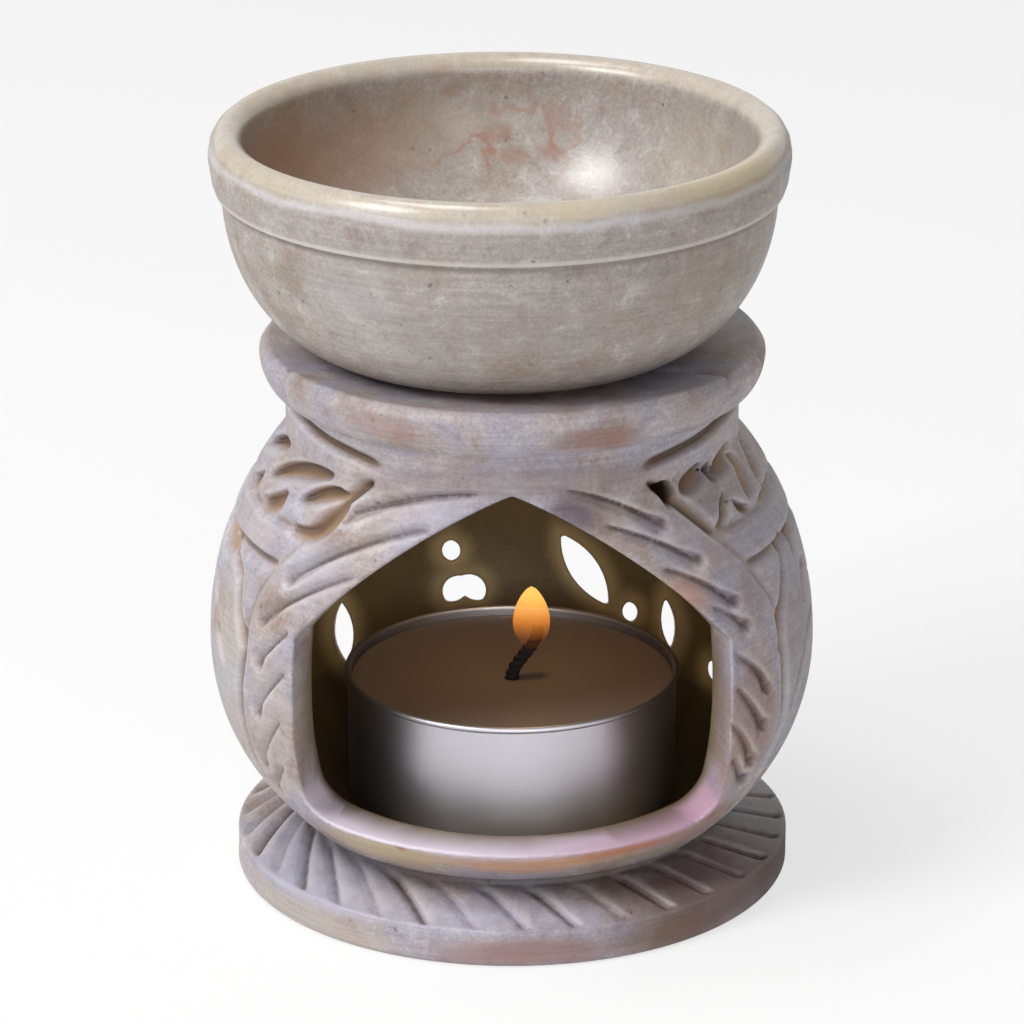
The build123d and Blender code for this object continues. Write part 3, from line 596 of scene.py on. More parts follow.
def carve_frieze():
    """Leaves left standing between scooped hollows, listed one by one near the doorway and evenly round the
    back.
    """
    for *line, width in FRIEZE_HOLLOWS + SIDE_HOLLOWS:
        cut_scoop(bent(*line), width, FRIEZE_DEPTH)
    for angle in FRIEZE_UNIT_ANGLES:
        for *line, width in FRIEZE_UNIT:
            cut_scoop(bent(*[(angle + a, h) for a, h in line]), width, FRIEZE_DEPTH)


def carve_flower(angle):
    """A ring with leaf-shaped hollows set round a hub."""
    mm_angle = math.degrees(1.0 / BELLY_RADIUS)

    def spot(reach, turn):
        return (angle + reach * math.cos(turn) * mm_angle, FLOWER_HEIGHT + reach * math.sin(turn))

    ring = [spot(FLOWER_RING, turn) for turn in np.radians(np.linspace(0.0, 360.0, 33))]
    window, share, gap, left = follow(ring, 2.0)
    sink(window, FLOWER_RING_CUT * np.clip(1.0 - gap / 0.6, 0.0, 1.0))
    for petal in range(FLOWER_PETALS):
        turn = math.tau * petal / FLOWER_PETALS
        line = [spot(r, turn) for r in (FLOWER_INNER, 0.5 * (FLOWER_INNER + FLOWER_OUTER), FLOWER_OUTER)]
        cut_gouge(line[:2], FLOWER_PETAL_WIDTH, FLOWER_PETAL_CUT)
        cut_gouge(line[:0:-1], FLOWER_PETAL_WIDTH, FLOWER_PETAL_CUT)
        spread = turn + math.pi / FLOWER_PETALS
        cut_gouge([spot(r, spread) for r in FLOWER_SPOT], FLOWER_SPOT_WIDTH, FLOWER_SPOT_CUT)


def carve_herringbone(angle):
    """An upright stem with leaves cut on both sides of it."""
    for row in range(HERRINGBONE_ROWS):
        height = PANEL_LOW + 3.0 + 3.6 * row
        for side in (-1.0, 1.0):
            line = [(angle + side * 1.2, height), (angle + side * 8.0, height + 3.2)]
            cut_gouge(line, 2.5, 0.95)


def carve_stone():
    """All the carving of the belly, in the order in which it was cut."""
    carve_band_edges()
    grooved[:] = softened(carving, 5, "wrap")
    carve_frieze()
    carving[:] = softened(carving, 9, "wrap")
    hollowed[:] = carving
    for line in STROKES_LEFT + STROKES_RIGHT:
        cut_leaf_stroke(line)
    for angle in FLOWER_ANGLES:
        carve_flower(angle)
    for angle in HERRINGBONE_ANGLES:
        carve_herringbone(angle)


carve_stone()
creases = carving - softened(carving, 40, "wrap")
skin_table = distance_table(body_outline())
room_table = distance_table(chamber_outline())


def closed_round(values):
    """Map whose first column follows its last one again."""
    return np.concatenate([values, values[:, :1]], axis=1)


carving_round, hollowed_round = closed_round(carving), closed_round(hollowed)
grooved_round, creases_round = closed_round(grooved), closed_round(creases)


def on_map(values, angle, z):
    """Map value at an angle and a height."""
    return between(values, (z - MAP_LOW) / MAP_STEP, (angle + 180.0) % 360.0 * ANGLE_STEPS / 360.0)


def base_stroke(radius, angle):
    """Nearest slanted stroke on the foot disc: mm beside it and its strength; they lean more on the left."""
    slant = np.radians(BASE_CUT_SLANT * (1.0 - np.sin(np.radians(angle))))
    shift = np.degrees((radius - BASE_CUT_MIDDLE) * np.tan(slant) / np.maximum(radius, 1.0))
    pitch = 360.0 / BASE_CUTS
    number = np.round((angle - shift) / pitch)
    side = np.radians(angle - shift - number * pitch) * radius * np.cos(slant)
    reach = ease(radius, 22.5, 23.5) * (1.0 - ease(radius, 30.0, 31.2))
    return side, (0.75 + 0.25 * np.sin(number * 2.4)) * reach


def base_cut(radius, angle):
    """Depth of the slanted cuts round the top of the foot disc, steep on one side."""
    side, strength = base_stroke(radius, angle)
    section = np.where(side > 0, 1.0 - side / 0.35, 1.0 + side / 1.3)
    return BASE_CUT_DEPTH * strength * np.clip(section, 0.0, 1.0)


def hand_wobble(angle, z):
    """Slight unevenness of stone that was turned and rubbed down by hand."""
    a = np.radians(angle)
    return 0.05 * (1.5 + np.sin(3 * a + 0.6 + 0.08 * z) + 0.5 * np.sin(8 * a - 0.21 * z))


def smooth_max(a, b, blend):
    """Larger of two distances with the edge between them rounded."""
    mix = np.clip(0.5 + 0.5 * (a - b) / blend, 0.0, 1.0)
    return b + (a - b) * mix + blend * mix * (1.0 - mix)


def doorway(x, y, z):
    """Distance from the pointed doorway, negative in the opening, its cheeks flared outwards."""
    step = -y - DOOR_PLANE
    half = DOOR_HALF_WIDTH + DOOR_CHEEK_FLARE * step
    sill = Z_SILL - SILL_FLARE * step
    shoulder = Z_SHOULDER + SILL_FLARE * step
    apex = Z_APEX + APEX_FLARE * step
    side = np.abs(x) - half + DOOR_CORNER
    under = sill - z + DOOR_CORNER
    past = np.hypot(np.maximum(side, 0), np.maximum(under, 0))
    corner = past + np.minimum(np.maximum(side, under), 0) - DOOR_CORNER
    rise = apex - shoulder
    slope = np.hypot(half, rise)
    share = np.clip(np.abs(x) / half, 0.0, 1.0)
    bow = 4.0 * DOOR_BOW * share * (1.0 - share)
    gable = (np.abs(x) * rise + (z - apex) * half) / slope - bow
    return np.maximum(np.maximum(corner, gable), y + DOOR_INNER)


def pierced(x, y, z, hole, dip, straight):
    """Distance from one leaf-shaped hole, negative in it; it runs square to the wall or straight back."""
    angle, height, length, width, tilt = hole
    place = math.radians(angle)
    a = math.pi if straight else place
    t = math.radians(tilt)
    from_x = x - PIERCED_REACH * math.sin(place)
    from_y = y + PIERCED_REACH * math.cos(place)
    out = from_x * math.sin(a) - from_y * math.cos(a)
    across = from_x * math.cos(a) + from_y * math.sin(a)
    up = z - height + out * math.tan(math.radians(dip))
    along = across * math.cos(t) + up * math.sin(t)
    side = -across * math.sin(t) + up * math.cos(t)
    bend = (length * length + width * width) / (4.0 * width)
    lens = np.hypot(along, np.abs(side) + bend - 0.5 * width) - bend
    return np.maximum(lens, -0.4 * BELLY_RADIUS - out)


HOLES = [(hole, 0.0, False) for hole in PIERCED_FRONT]
HOLES += [(hole, PIERCED_DIP, False) for hole in PIERCED_SIDE]
HOLES += [(hole, PIERCED_DIP, True) for hole in PIERCED_BACK]


def stone_field(points):
    """Distance in millimetres from the stone's surface, negative in the stone."""
    x, y, z = points[:, 0], points[:, 1], points[:, 2]
    radius = np.hypot(x, y)
    angle = np.degrees(np.arctan2(x, -y))
    row, column = radius / TABLE_STEP, (z - TABLE_HEIGHTS[0]) / TABLE_STEP
    on_base = z < Z_UNDERCUT + 0.6
    cut = np.where(on_base, 0.0, on_map(carving_round, angle, z))
    cut[on_base] = base_cut(radius[on_base], angle[on_base]) * ease(z[on_base], 2.0, 3.6)
    skin = between(skin_table, row, column) + cut + hand_wobble(angle, z) * ease(z, 0.3, 2.0)
    field = np.maximum(skin, -between(room_table, row, column))
    field = smooth_max(field, -doorway(x, y, z), DOOR_EDGE_ROUND)
    for hole, dip, straight in HOLES:
        near = np.abs((angle - hole[0] + 180.0) % 360.0 - 180.0) < 25.0
        gap = pierced(x[near], y[near], z[near], hole, dip, straight)
        field[near] = smooth_max(field[near], -gap, 0.35)
    return field


def sampled_stone():
    """Stone distances on an even grid, worked out in full only in and near the stone."""
    low = np.array([-BELLY_RADIUS, -BELLY_RADIUS, 0.0]) - 2.5 * STONE_STEP
    high = np.array([BELLY_RADIUS, BELLY_RADIUS, Z_COLLAR_TOP]) + 2.5 * STONE_STEP
    axes = [np.arange(low[k], high[k], STONE_STEP) for k in range(3)]
    x, y = np.meshgrid(axes[0], axes[1], indexing="ij")
    radius = np.hypot(x, y)
    field = np.ones((len(axes[0]), len(axes[1]), len(axes[2])))
    for k, z in enumerate(axes[2]):
        column = np.full(radius.shape, (z - TABLE_HEIGHTS[0]) / TABLE_STEP)
        row = radius / TABLE_STEP
        near = (between(skin_table, row, column) < 1.2) & (between(room_table, row, column) > -1.2)
        places = np.stack([x[near], y[near], np.full(near.sum(), z)], axis=1)
        field[:, :, k][near] = stone_field(places)
    return field, low


def surface_net(field, low):
    """Quads on the zero level of the sampled distances, one corner in each cell that it crosses."""
    solid = field < 0
    shape = [n - 1 for n in field.shape]
    offsets = [(i, j, k) for i in (0, 1) for j in (0, 1) for k in (0, 1)]
    filled = sum(solid[i:i + shape[0], j:j + shape[1], k:k + shape[2]].astype(np.int8) for i, j, k in offsets)
    crossed = (filled > 0) & (filled < 8)
    cells = np.argwhere(crossed)
    number = np.full(crossed.shape, -1)
    number[crossed] = np.arange(len(cells))
    values = [field[cells[:, 0] + i, cells[:, 1] + j, cells[:, 2] + k] for i, j, k in offsets]
    total = np.zeros((len(cells), 3))
    count = np.zeros(len(cells))
    for a, start in enumerate(offsets):
        for b, end in enumerate(offsets):
            if sum(end) - sum(start) != 1 or sum(abs(p - q) for p, q in zip(start, end)) != 1:
                continue
            change = (values[a] < 0) != (values[b] < 0)
            share = values[a][change] / (values[a][change] - values[b][change])
            total[change] += np.array(start) + share[:, None] * (np.array(end) - np.array(start))
            count[change] += 1
    corners = low + STONE_STEP * (cells + total / count[:, None])
    quads = []
    for axis in range(3):
        u, v = (axis + 1) % 3, (axis + 2) % 3
        here = np.moveaxis(solid, axis, 0)
        change = np.argwhere(np.moveaxis(here[1:] != here[:-1], 0, axis))
        change = change[(change[:, u] > 0) & (change[:, v] > 0)]
        change = change[(change[:, u] < shape[u]) & (change[:, v] < shape[v])]
        ring = []
        for du, dv in ((-1, -1), (0, -1), (0, 0), (-1, 0)):
            cell = change.copy()
            cell[:, u] += du
            cell[:, v] += dv
            ring.append(number[cell[:, 0], cell[:, 1], cell[:, 2]])
        quad = np.stack(ring, axis=1)
        outward = solid[change[:, 0], change[:, 1], change[:, 2]]
        quads.append(np.where(outward[:, None], quad, quad[:, ::-1]))
    return corners, np.concatenate(quads)


def settle(points, rounds=2, nudge=0.06):
    """Moves the corners on to the true surface."""
    for _ in range(rounds):
        slope = np.zeros(points.shape)
        for axis in range(3):
            step = np.zeros(3)
            step[axis] = nudge
            slope[:, axis] = (stone_field(points + step) - stone_field(points - step)) / (2 * nudge)
        steep = np.maximum((slope ** 2).sum(axis=1), 0.5)
        move = stone_field(points) / steep
        points = points - np.clip(move, -0.25, 0.25)[:, None] * slope
    return points


def plain_object(name, mesh):
    """Puts a mesh in the scene under a name."""
    piece = bpy.data.objects.new(name, mesh)
    bpy.context.scene.collection.objects.link(piece)
    return piece


def made_plain(piece):
    """Turns a piece and its modifiers into a plain mesh."""
    bpy.context.view_layer.update()
    graph = bpy.context.evaluated_depsgraph_get()
    mesh = bpy.data.meshes.new_from_object(piece.evaluated_get(graph))
    piece.modifiers.clear()
    piece.data = mesh
    mesh.name = piece.name
    return piece


def stone_marks(places):
    """How hollow, grooved, creased, far inside or pierced the stone is at each place, for its colours, with
    painted shade in the front holes and under the belly and painted light on the walls of the side and back
    holes.
    """
    x, y, height = places.T
    radius = np.hypot(x, y)
    angle = np.degrees(np.arctan2(x, -y))
    row, column = radius / TABLE_STEP, (height - TABLE_HEIGHTS[0]) / TABLE_STEP
    depth = -between(skin_table, row, column)
    near_skin = 1.0 - ease(depth, 1.8, 2.4)
    on_base = height < Z_UNDERCUT + 0.6
    on_belly = near_skin * (~on_base)
    beside, strength = base_stroke(radius, angle)
    # A line beside each foot cut is marked to be painted pale: painted highlight on its ridge, as wear.
    scratch = np.exp(-((beside - 0.5) / 0.3) ** 2) * strength
    stroke = 0.5 * (base_cut(radius, angle) / BASE_CUT_DEPTH) ** 2
    base_crease = (stroke - 0.3 * scratch) * ease(height, 3.0, 4.0)
    belly_crease = on_map(creases_round, angle, height) * near_skin
    painted_hole_light = np.zeros(len(places))
    painted_recess_shade = np.zeros(len(places))
    # Walls of the side and back holes are marked for painted light, the front holes for painted shade.
    for hole, dip, straight in HOLES:
        gap = pierced(x, y, height, hole, dip, straight)
        if dip:
            painted_hole_light = np.maximum(painted_hole_light, 1.0 - ease(gap, 0.0, 2.4))
        else:
            painted_recess_shade = np.maximum(painted_recess_shade, (1.0 - ease(gap, 0.0, 0.5)) * ease(depth, 0.9, 2.0))
    # The gap under the belly and a band of the foot beside it, stronger on the left, are marked for painted
    # shade.
    gap_under = 1.0 - ease(radius, UNDERCUT_RADIUS - 0.2, UNDERCUT_RADIUS + 1.2)
    painted_recess_shade = np.maximum(painted_recess_shade, 0.55 * gap_under * (1.0 - ease(height, 7.4, 8.6)))
    band = (1.0 - ease(radius, 22.8, 26.6)) * (height > 4.0) * (height < 7.4)
    painted_recess_shade = np.maximum(painted_recess_shade, band * (0.2 + 0.4 * ease(-x, -2.0, 16.0)))
    on_sill = 1.0 - ease(np.abs(doorway(x, y, height)), 0.1, 0.6)
    return {
        "hollow": on_map(hollowed_round, angle, height) * on_belly,
        "groove": on_map(grooved_round, angle, height) * on_belly,
        "crease": np.where(on_base, base_crease, belly_crease),
        "inside": 1.0 - ease(between(room_table, row, column), 0.15, 1.6),
        "painted_hole_light": painted_hole_light,
        "painted_recess_shade": painted_recess_shade,
        "sill": on_sill * (1.0 - ease(height, 14.5, 18.0)),
    }


def stone_body(material):
    """The carved stone body as one closed mesh, with the marks that its colours follow."""
    field, low = sampled_stone()
    corners, quads = surface_net(field, low)
    corners = settle(corners)
    mesh = bpy.data.meshes.new("carved_stone")
    mesh.from_pydata((corners * MM).tolist(), [], quads.tolist())
    piece = plain_object("carved_stone", mesh)
    thin = piece.modifiers.new("thin", "DECIMATE")
    thin.ratio = min(1.0, BODY_TRIANGLES / (2.0 * len(quads)))
    made_plain(piece)
    mesh = piece.data
    places = np.zeros(len(mesh.vertices) * 3)
    mesh.vertices.foreach_get("co", places)
    places[2::3] = np.maximum(places[2::3], 0.0)
    mesh.vertices.foreach_set("co", places)
    for label, values in stone_marks(places.reshape(-1, 3) / MM).items():
        mesh.attributes.new(label, "FLOAT", "POINT").data.foreach_set("value", values.astype(np.float32))
    mesh.shade_smooth()
    mesh.materials.append(material)
    return piece


# Colours and nodes
def tone(code, alpha=1.0):
    """Linear colour from an sRGB hex code."""
    parts = [int(code[k:k + 2], 16) / 255.0 for k in (1, 3, 5)]
    linear = [c / 12.92 if c <= 0.04045 else ((c + 0.055) / 1.055) ** 2.4 for c in parts]
    return (*linear, alpha)


def add(tree, kind, inputs=None, **settings):
    """Adds one node with its settings; an input is a value or another node's output."""
    node = tree.nodes.new(kind)
    for name, value in settings.items():
        setattr(node, name, value)
    for name, value in (inputs or {}).items():
        if isinstance(value, bpy.types.NodeSocket):
            tree.links.new(value, node.inputs[name])
        else:
            node.inputs[name].default_value = value
    return node


def new_material(name):
    """Empty node material with its output."""
    material = bpy.data.materials.new(name)
    material.use_nodes = True
    tree = material.node_tree
    tree.nodes.clear()
    return material, tree, tree.nodes.new("ShaderNodeOutputMaterial")


def value_of(tree, operation, *terms):
    """Result of a sum on values."""
    return add(tree, "ShaderNodeMath", dict(enumerate(terms)), operation=operation).outputs[0]


def vector_of(tree, operation, *terms):
    """Result of a sum on vectors."""
    return add(tree, "ShaderNodeVectorMath", dict(enumerate(terms)), operation=operation).outputs[0]


def scaled(tree, vector, amount):
    """A vector or a colour times a value."""
    return add(tree, "ShaderNodeVectorMath", {0: vector, 3: amount}, operation="SCALE").outputs[0]


def ranged(tree, value, low, high, start=0.0, end=1.0, kind="LINEAR"):
    """A value taken from one range to another."""
    inputs = {0: value, 1: low, 2: high, 3: start, 4: end}
    return add(tree, "ShaderNodeMapRange", inputs, interpolation_type=kind).outputs[0]


def blend(tree, amount, first, second):
    """Mix of two colours, each a hex code or another node's output."""
    first, second = [tone(colour) if isinstance(colour, str) else colour for colour in (first, second)]
    return add(tree, "ShaderNodeMix", {0: amount, 6: first, 7: second}, data_type="RGBA").outputs[2]


def mark(tree, name):
    """One of the piece's own values at each place."""
    return add(tree, "ShaderNodeAttribute", attribute_name=name).outputs["Fac"]


def noise(tree, place, scale, detail, seed=None, roughness=0.5, output="Fac"):
    """Cloudy noise, one of several by its seed."""
    inputs = {"Vector": place, "Scale": scale, "Detail": detail, "Roughness": roughness}
    if seed is None:
        return add(tree, "ShaderNodeTexNoise", inputs).outputs[output]
    return add(tree, "ShaderNodeTexNoise", {**inputs, "W": seed}, noise_dimensions="4D").outputs[output]


def object_place(tree):
    """Place on the piece in metres."""
    return add(tree, "ShaderNodeTexCoord").outputs["Object"]


def place_mm(tree):
    """Place on the piece in millimetres."""
    return add(tree, "ShaderNodeMapping", {"Vector": object_place(tree), "Scale": (1 / MM,) * 3}).outputs[0]


def bumped(tree, height, strength, distance):
    """Fine roughness that catches the light."""
    inputs = {"Strength": strength, "Distance": distance, "Height": height}
    return add(tree, "ShaderNodeBump", inputs).outputs[0]


def surface(tree, output, **finish):
    """Ends a material with one surface of the given finish."""
    shader = add(tree, "ShaderNodeBsdfPrincipled", {name.replace("_", " "): v for name, v in finish.items()})
    tree.links.new(shader.outputs[0], output.inputs[0])


def shaded_ramp(tree, value, tones):
    """Colours laid along a value, as (position, hex code)."""
    ramp = add(tree, "ShaderNodeValToRGB", {0: value})
    ends = ramp.color_ramp.elements
    ends[0].position, ends[1].position = tones[0][0], tones[-1][0]
    ends[0].color, ends[1].color = tone(tones[0][1]), tone(tones[-1][1])
    for position, code in tones[1:-1]:
        ends.new(position).color = tone(code)
    return ramp.outputs[0]


def stone_tones(tree, place, seed, tones):
    """Mottled colour of the stone, the bent place that its patches follow, and the way to its veins."""
    warp = noise(tree, place, 0.09, 3.0, seed, output="Color")
    bend = vector_of(tree, "SUBTRACT", warp, (0.5, 0.5, 0.5))
    shift = vector_of(tree, "MULTIPLY_ADD", bend, (9.0, 9.0, 9.0), place)
    patch = vector_of(tree, "MULTIPLY_ADD", bend, (3.0, 3.0, 2.0), place)
    colour = shaded_ramp(tree, noise(tree, shift, 0.08, 5.0, seed + 3.1, 0.62), tones)
    mottle = noise(tree, shift, 0.36, 6.0, seed + 7.7, 0.7)
    colour = blend(tree, ranged(tree, mottle, 0.53, 0.68, 0.0, 0.55), colour, "#8a6c5d")
    colour = blend(tree, ranged(tree, mottle, 0.47, 0.31, 0.0, 0.75), colour, "#cbc5c2")
    vein = value_of(tree, "SUBTRACT", noise(tree, shift, 0.13, 4.0, seed + 11.0), 0.5)
    grain = noise(tree, place, 2.4, 4.0, roughness=0.75)
    colour = scaled(tree, colour, ranged(tree, grain, 0.3, 0.7, 0.76, 1.17))
    specks = add(tree, "ShaderNodeTexVoronoi", {"Vector": shift, "Scale": 0.55})
    dots = ranged(tree, specks.outputs["Distance"], 0.16, 0.05, 0.0, 0.75)
    chosen = add(tree, "ShaderNodeSeparateColor", {0: specks.outputs["Color"]}).outputs[0]
    speck = value_of(tree, "MULTIPLY", dots, value_of(tree, "GREATER_THAN", chosen, 0.66))
    return blend(tree, speck, colour, "#4f4546"), patch, value_of(tree, "ABSOLUTE", vein)


def stained(tree, colour, place, stains, lines=None):
    """Blends soft-edged patches of other colours in, or only along the veins where lines are given."""
    for centre, radii, strength, code in stains:
        local = add(tree, "ShaderNodeMapping", {"Vector": place, "Location": centre, "Scale": radii},
                    vector_type="TEXTURE").outputs[0]
        reach = add(tree, "ShaderNodeVectorMath", {0: local}, operation="LENGTH").outputs["Value"]
        amount = ranged(tree, reach, 1.25, 0.3, 0.0, strength, "SMOOTHSTEP")
        if lines:
            amount = value_of(tree, "MULTIPLY", amount, ranged(tree, lines, 0.04, 0.005))
        colour = blend(tree, amount, colour, code)
    return colour


def turning_lines(tree, place):
    """Fine level scratches left by turning and sanding, as a value round 0.5."""
    squash = add(tree, "ShaderNodeMapping", {"Vector": place, "Scale": (0.11, 0.11, 2.6)}).outputs[0]
    return noise(tree, squash, 1.0, 5.0, roughness=0.7)


def carved_soapstone():
    """Soapstone, turned, carved with gouges and rubbed with wax: mottled lilac grey, satin, with tan hollows,
    creases darkened by dirt and painted shade, ridges paled by wear and painted highlight, grooves, front
    holes, the gap under the belly and the chamber darkened as painted shade, and painted light on the walls
    of the side and back holes."""
    material, tree, output = new_material("carved_soapstone")
    place = place_mm(tree)
    colour, bent_place, _ = stone_tones(tree, place, 2.0, BODY_TONES)
    colour = stained(tree, colour, bent_place, BODY_STAINS_AND_PAINTED_LIGHT)
    lines = turning_lines(tree, place)
    colour = scaled(tree, colour, ranged(tree, lines, 0.3, 0.7, 0.86, 1.12))
    colour = blend(tree, ranged(tree, mark(tree, "hollow"), 0.35, 1.1, 0.0, 0.8), colour, "#a3825a")
    # Grooves darkened brown: painted shade.
    colour = blend(tree, ranged(tree, mark(tree, "groove"), 0.5, 1.2, 0.0, 0.6), colour, "#5f4b3b")
    across = add(tree, "ShaderNodeSeparateXYZ", {0: bent_place}).outputs[0]
    ledge = blend(tree, ranged(tree, across, -6.0, 16.0), "#e6dcea", "#c8a4bb")
    colour = blend(tree, value_of(tree, "MULTIPLY", mark(tree, "sill"), 0.9), colour, ledge)
    crease = mark(tree, "crease")
    # Ridges paled as wear and painted highlight; creases darkened as dirt and painted shade.
    colour = blend(tree, ranged(tree, crease, -0.04, -0.25, 0.0, 0.45), colour, "#d6d0ce")
    colour = blend(tree, ranged(tree, crease, 0.06, 0.34, 0.0, 0.8), colour, "#4c3d36")
    # Chamber walls brown: soot, darkened further as painted shade and warmed as the candle's painted glow.
    wall = blend(tree, noise(tree, place, 0.12, 3.0), "#54452d", "#857350")
    colour = blend(tree, mark(tree, "inside"), colour, wall)
    # Walls of the side and back holes paled: painted light.
    colour = blend(tree, ranged(tree, mark(tree, "painted_hole_light"), 0.0, 1.0, 0.0, 0.8), colour, "#cdb88c")
    # Front holes, the gap under the belly and the band beside it darkened: painted shade.
    colour = blend(tree, mark(tree, "painted_recess_shade"), colour, "#33261c")
    rough = value_of(tree, "ADD", noise(tree, place, 3.5, 4.0), lines)
    bump = bumped(tree, rough, 0.3, 0.15 * MM)
    surface(tree, output, Base_Color=colour, Roughness=0.46, IOR=1.55, Specular_IOR_Level=0.35, Normal=bump)
    return material


def turned_soapstone():
    """Soapstone turned on a lathe and waxed: beige grey, fine turning lines outside, a polished hollow, a
    paler rim, a painted highlight line below the rim, a pale line of wear and painted highlight on the lip's
    step with painted shadow below it, and rusty veins."""
    material, tree, output = new_material("turned_soapstone")
    place = place_mm(tree)
    colour, bent_place, veins = stone_tones(tree, place, 5.0, BOWL_TONES)
    colour = stained(tree, colour, bent_place, BOWL_STAINS + BOWL_SPOTS)
    colour = stained(tree, colour, bent_place, BOWL_VEINS, veins)
    lines = turning_lines(tree, place)
    smooth = mark(tree, "polished")
    streaked = scaled(tree, colour, ranged(tree, lines, 0.3, 0.7, 0.85, 1.11))
    colour = blend(tree, smooth, streaked, colour)
    wavy = add(tree, "ShaderNodeSeparateXYZ", {0: bent_place}).outputs[2]
    level = add(tree, "ShaderNodeSeparateXYZ", {0: place}).outputs[2]
    colour = blend(tree, ranged(tree, wavy, Z_RIM - 2.0, Z_RIM - 0.9, 0.0, 0.4), colour, "#d0c2a8")
    outside = value_of(tree, "SUBTRACT", 1.0, smooth)
    # Pale wavy line below the rim: painted highlight; pale line on the lip's step: wear and painted
    # highlight; dark line below it: painted shadow.
    painted_edge_lines = [
        (wavy, Z_RIM - 2.0, 0.7, 0.4, "#dedbe2"),
        (level, Z_LIP + 0.25, 0.45, 0.55, "#d8d2ca"),
        (level, Z_LIP - 0.5, 0.5, 0.45, "#6d6259"),
    ]
    for source, height, reach, amount, code in painted_edge_lines:
        away = value_of(tree, "ABSOLUTE", value_of(tree, "SUBTRACT", source, height))
        shown = value_of(tree, "MULTIPLY", ranged(tree, away, reach, 0.2 * reach, 0.0, amount), outside)
        colour = blend(tree, shown, colour, code)
    coarse = value_of(tree, "ADD", noise(tree, place, 3.0, 4.0), lines)
    strength = ranged(tree, smooth, 0.0, 1.0, 0.35, 0.08)
    bump = bumped(tree, coarse, strength, 0.14 * MM)
    gloss = ranged(tree, smooth, 0.0, 1.0, 0.45, 0.25)
    surface(tree, output, Base_Color=colour, Roughness=gloss, IOR=1.55, Normal=bump)
    return material


def drawn_aluminium():
    """Thin deep-drawn aluminium: silvery and satin, with faint smudges and its left and right sides darkened
    as a painted reflection of the dark chamber.
    """
    material, tree, output = new_material("drawn_aluminium")
    place = object_place(tree)
    gloss = ranged(tree, noise(tree, place, 160.0, 3.0), 0.3, 0.7, 0.4, 0.46)
    aside = value_of(tree, "ABSOLUTE", add(tree, "ShaderNodeSeparateXYZ", {0: place}).outputs[0])
    # Left and right sides darkened: painted reflection of the dark chamber.
    painted_dark_reflection = ranged(tree, aside, 10.0 * MM, 17.0 * MM, 0.0, 0.5)
    surface(tree, output, Base_Color=blend(tree, painted_dark_reflection, "#cbc9d0", "#3a302c"), Metallic=1.0, Roughness=gloss)
    return material


def paraffin():
    """Poured paraffin wax: smooth, its pale colour darkened to taupe as painted shade of the chamber."""
    material, tree, output = new_material("paraffin_wax")
    # Taupe in place of the wax's pale cream: painted shade.
    surface(tree, output, Base_Color=tone("#86756a"), Roughness=0.45, IOR=1.44)
    return material


def charred_cotton():
    """Braided cotton burnt to black char, matt."""
    material, tree, output = new_material("charred_cotton")
    surface(tree, output, Base_Color=tone("#1a1410"), Roughness=0.9)
    return material


def tinplate():
    """Stamped tin-plated steel: grey, half bright."""
    material, tree, output = new_material("tinplate")
    surface(tree, output, Base_Color=tone("#b3b2ae"), Metallic=1.0, Roughness=0.35)
    return material


def candle_flame():
    """Burning wax vapour: yellow at the top, orange at the sides, clear near the wick."""
    material, tree, output = new_material("candle_flame")
    up = add(tree, "ShaderNodeSeparateXYZ", {0: object_place(tree)}).outputs[2]
    height = ranged(tree, up, FLAME_LOW * MM, FLAME_HIGH * MM)
    colour = shaded_ramp(tree, height, [(0.15, "#c0601e"), (0.5, "#fb9638"), (0.9, "#ffc765")])
    glow = add(tree, "ShaderNodeEmission", {"Color": colour, "Strength": 1.15}).outputs[0]
    clear = add(tree, "ShaderNodeBsdfTransparent").outputs[0]
    solid = ranged(tree, height, 0.2, 0.85, 0.05, 0.92)
    mix = add(tree, "ShaderNodeMixShader", {0: solid, 1: clear, 2: glow})
    tree.links.new(mix.outputs[0], output.inputs[0])
    return material


# Geometry Nodes trees
def new_tree(name, sockets):
    """Empty geometry tree with named inputs; gives the tree, its input node and the identifiers."""
    tree = bpy.data.node_groups.new(name, "GeometryNodeTree")
    tree.interface.new_socket("Geometry", in_out="OUTPUT", socket_type="NodeSocketGeometry")
    tree.interface.new_socket("Geometry", in_out="INPUT", socket_type="NodeSocketGeometry")
    for label, kind in sockets:
        tree.interface.new_socket(label, in_out="INPUT", socket_type=kind)
    names = {item.name: item.identifier for item in tree.interface.items_tree if item.in_out == "INPUT"}
    return tree, tree.nodes.new("NodeGroupInput"), names


def finish_tree(tree, geometry, material):
    """Ends a tree: smooth faces, the material, instances made real."""
    smooth = add(tree, "GeometryNodeSetShadeSmooth", {"Geometry": geometry})
    dressed = add(tree, "GeometryNodeSetMaterial", {"Geometry": smooth.outputs[0], "Material": material})
    real = add(tree, "GeometryNodeRealizeInstances", {"Geometry": dressed.outputs[0]})
    add(tree, "NodeGroupOutput", {"Geometry": real.outputs[0]})


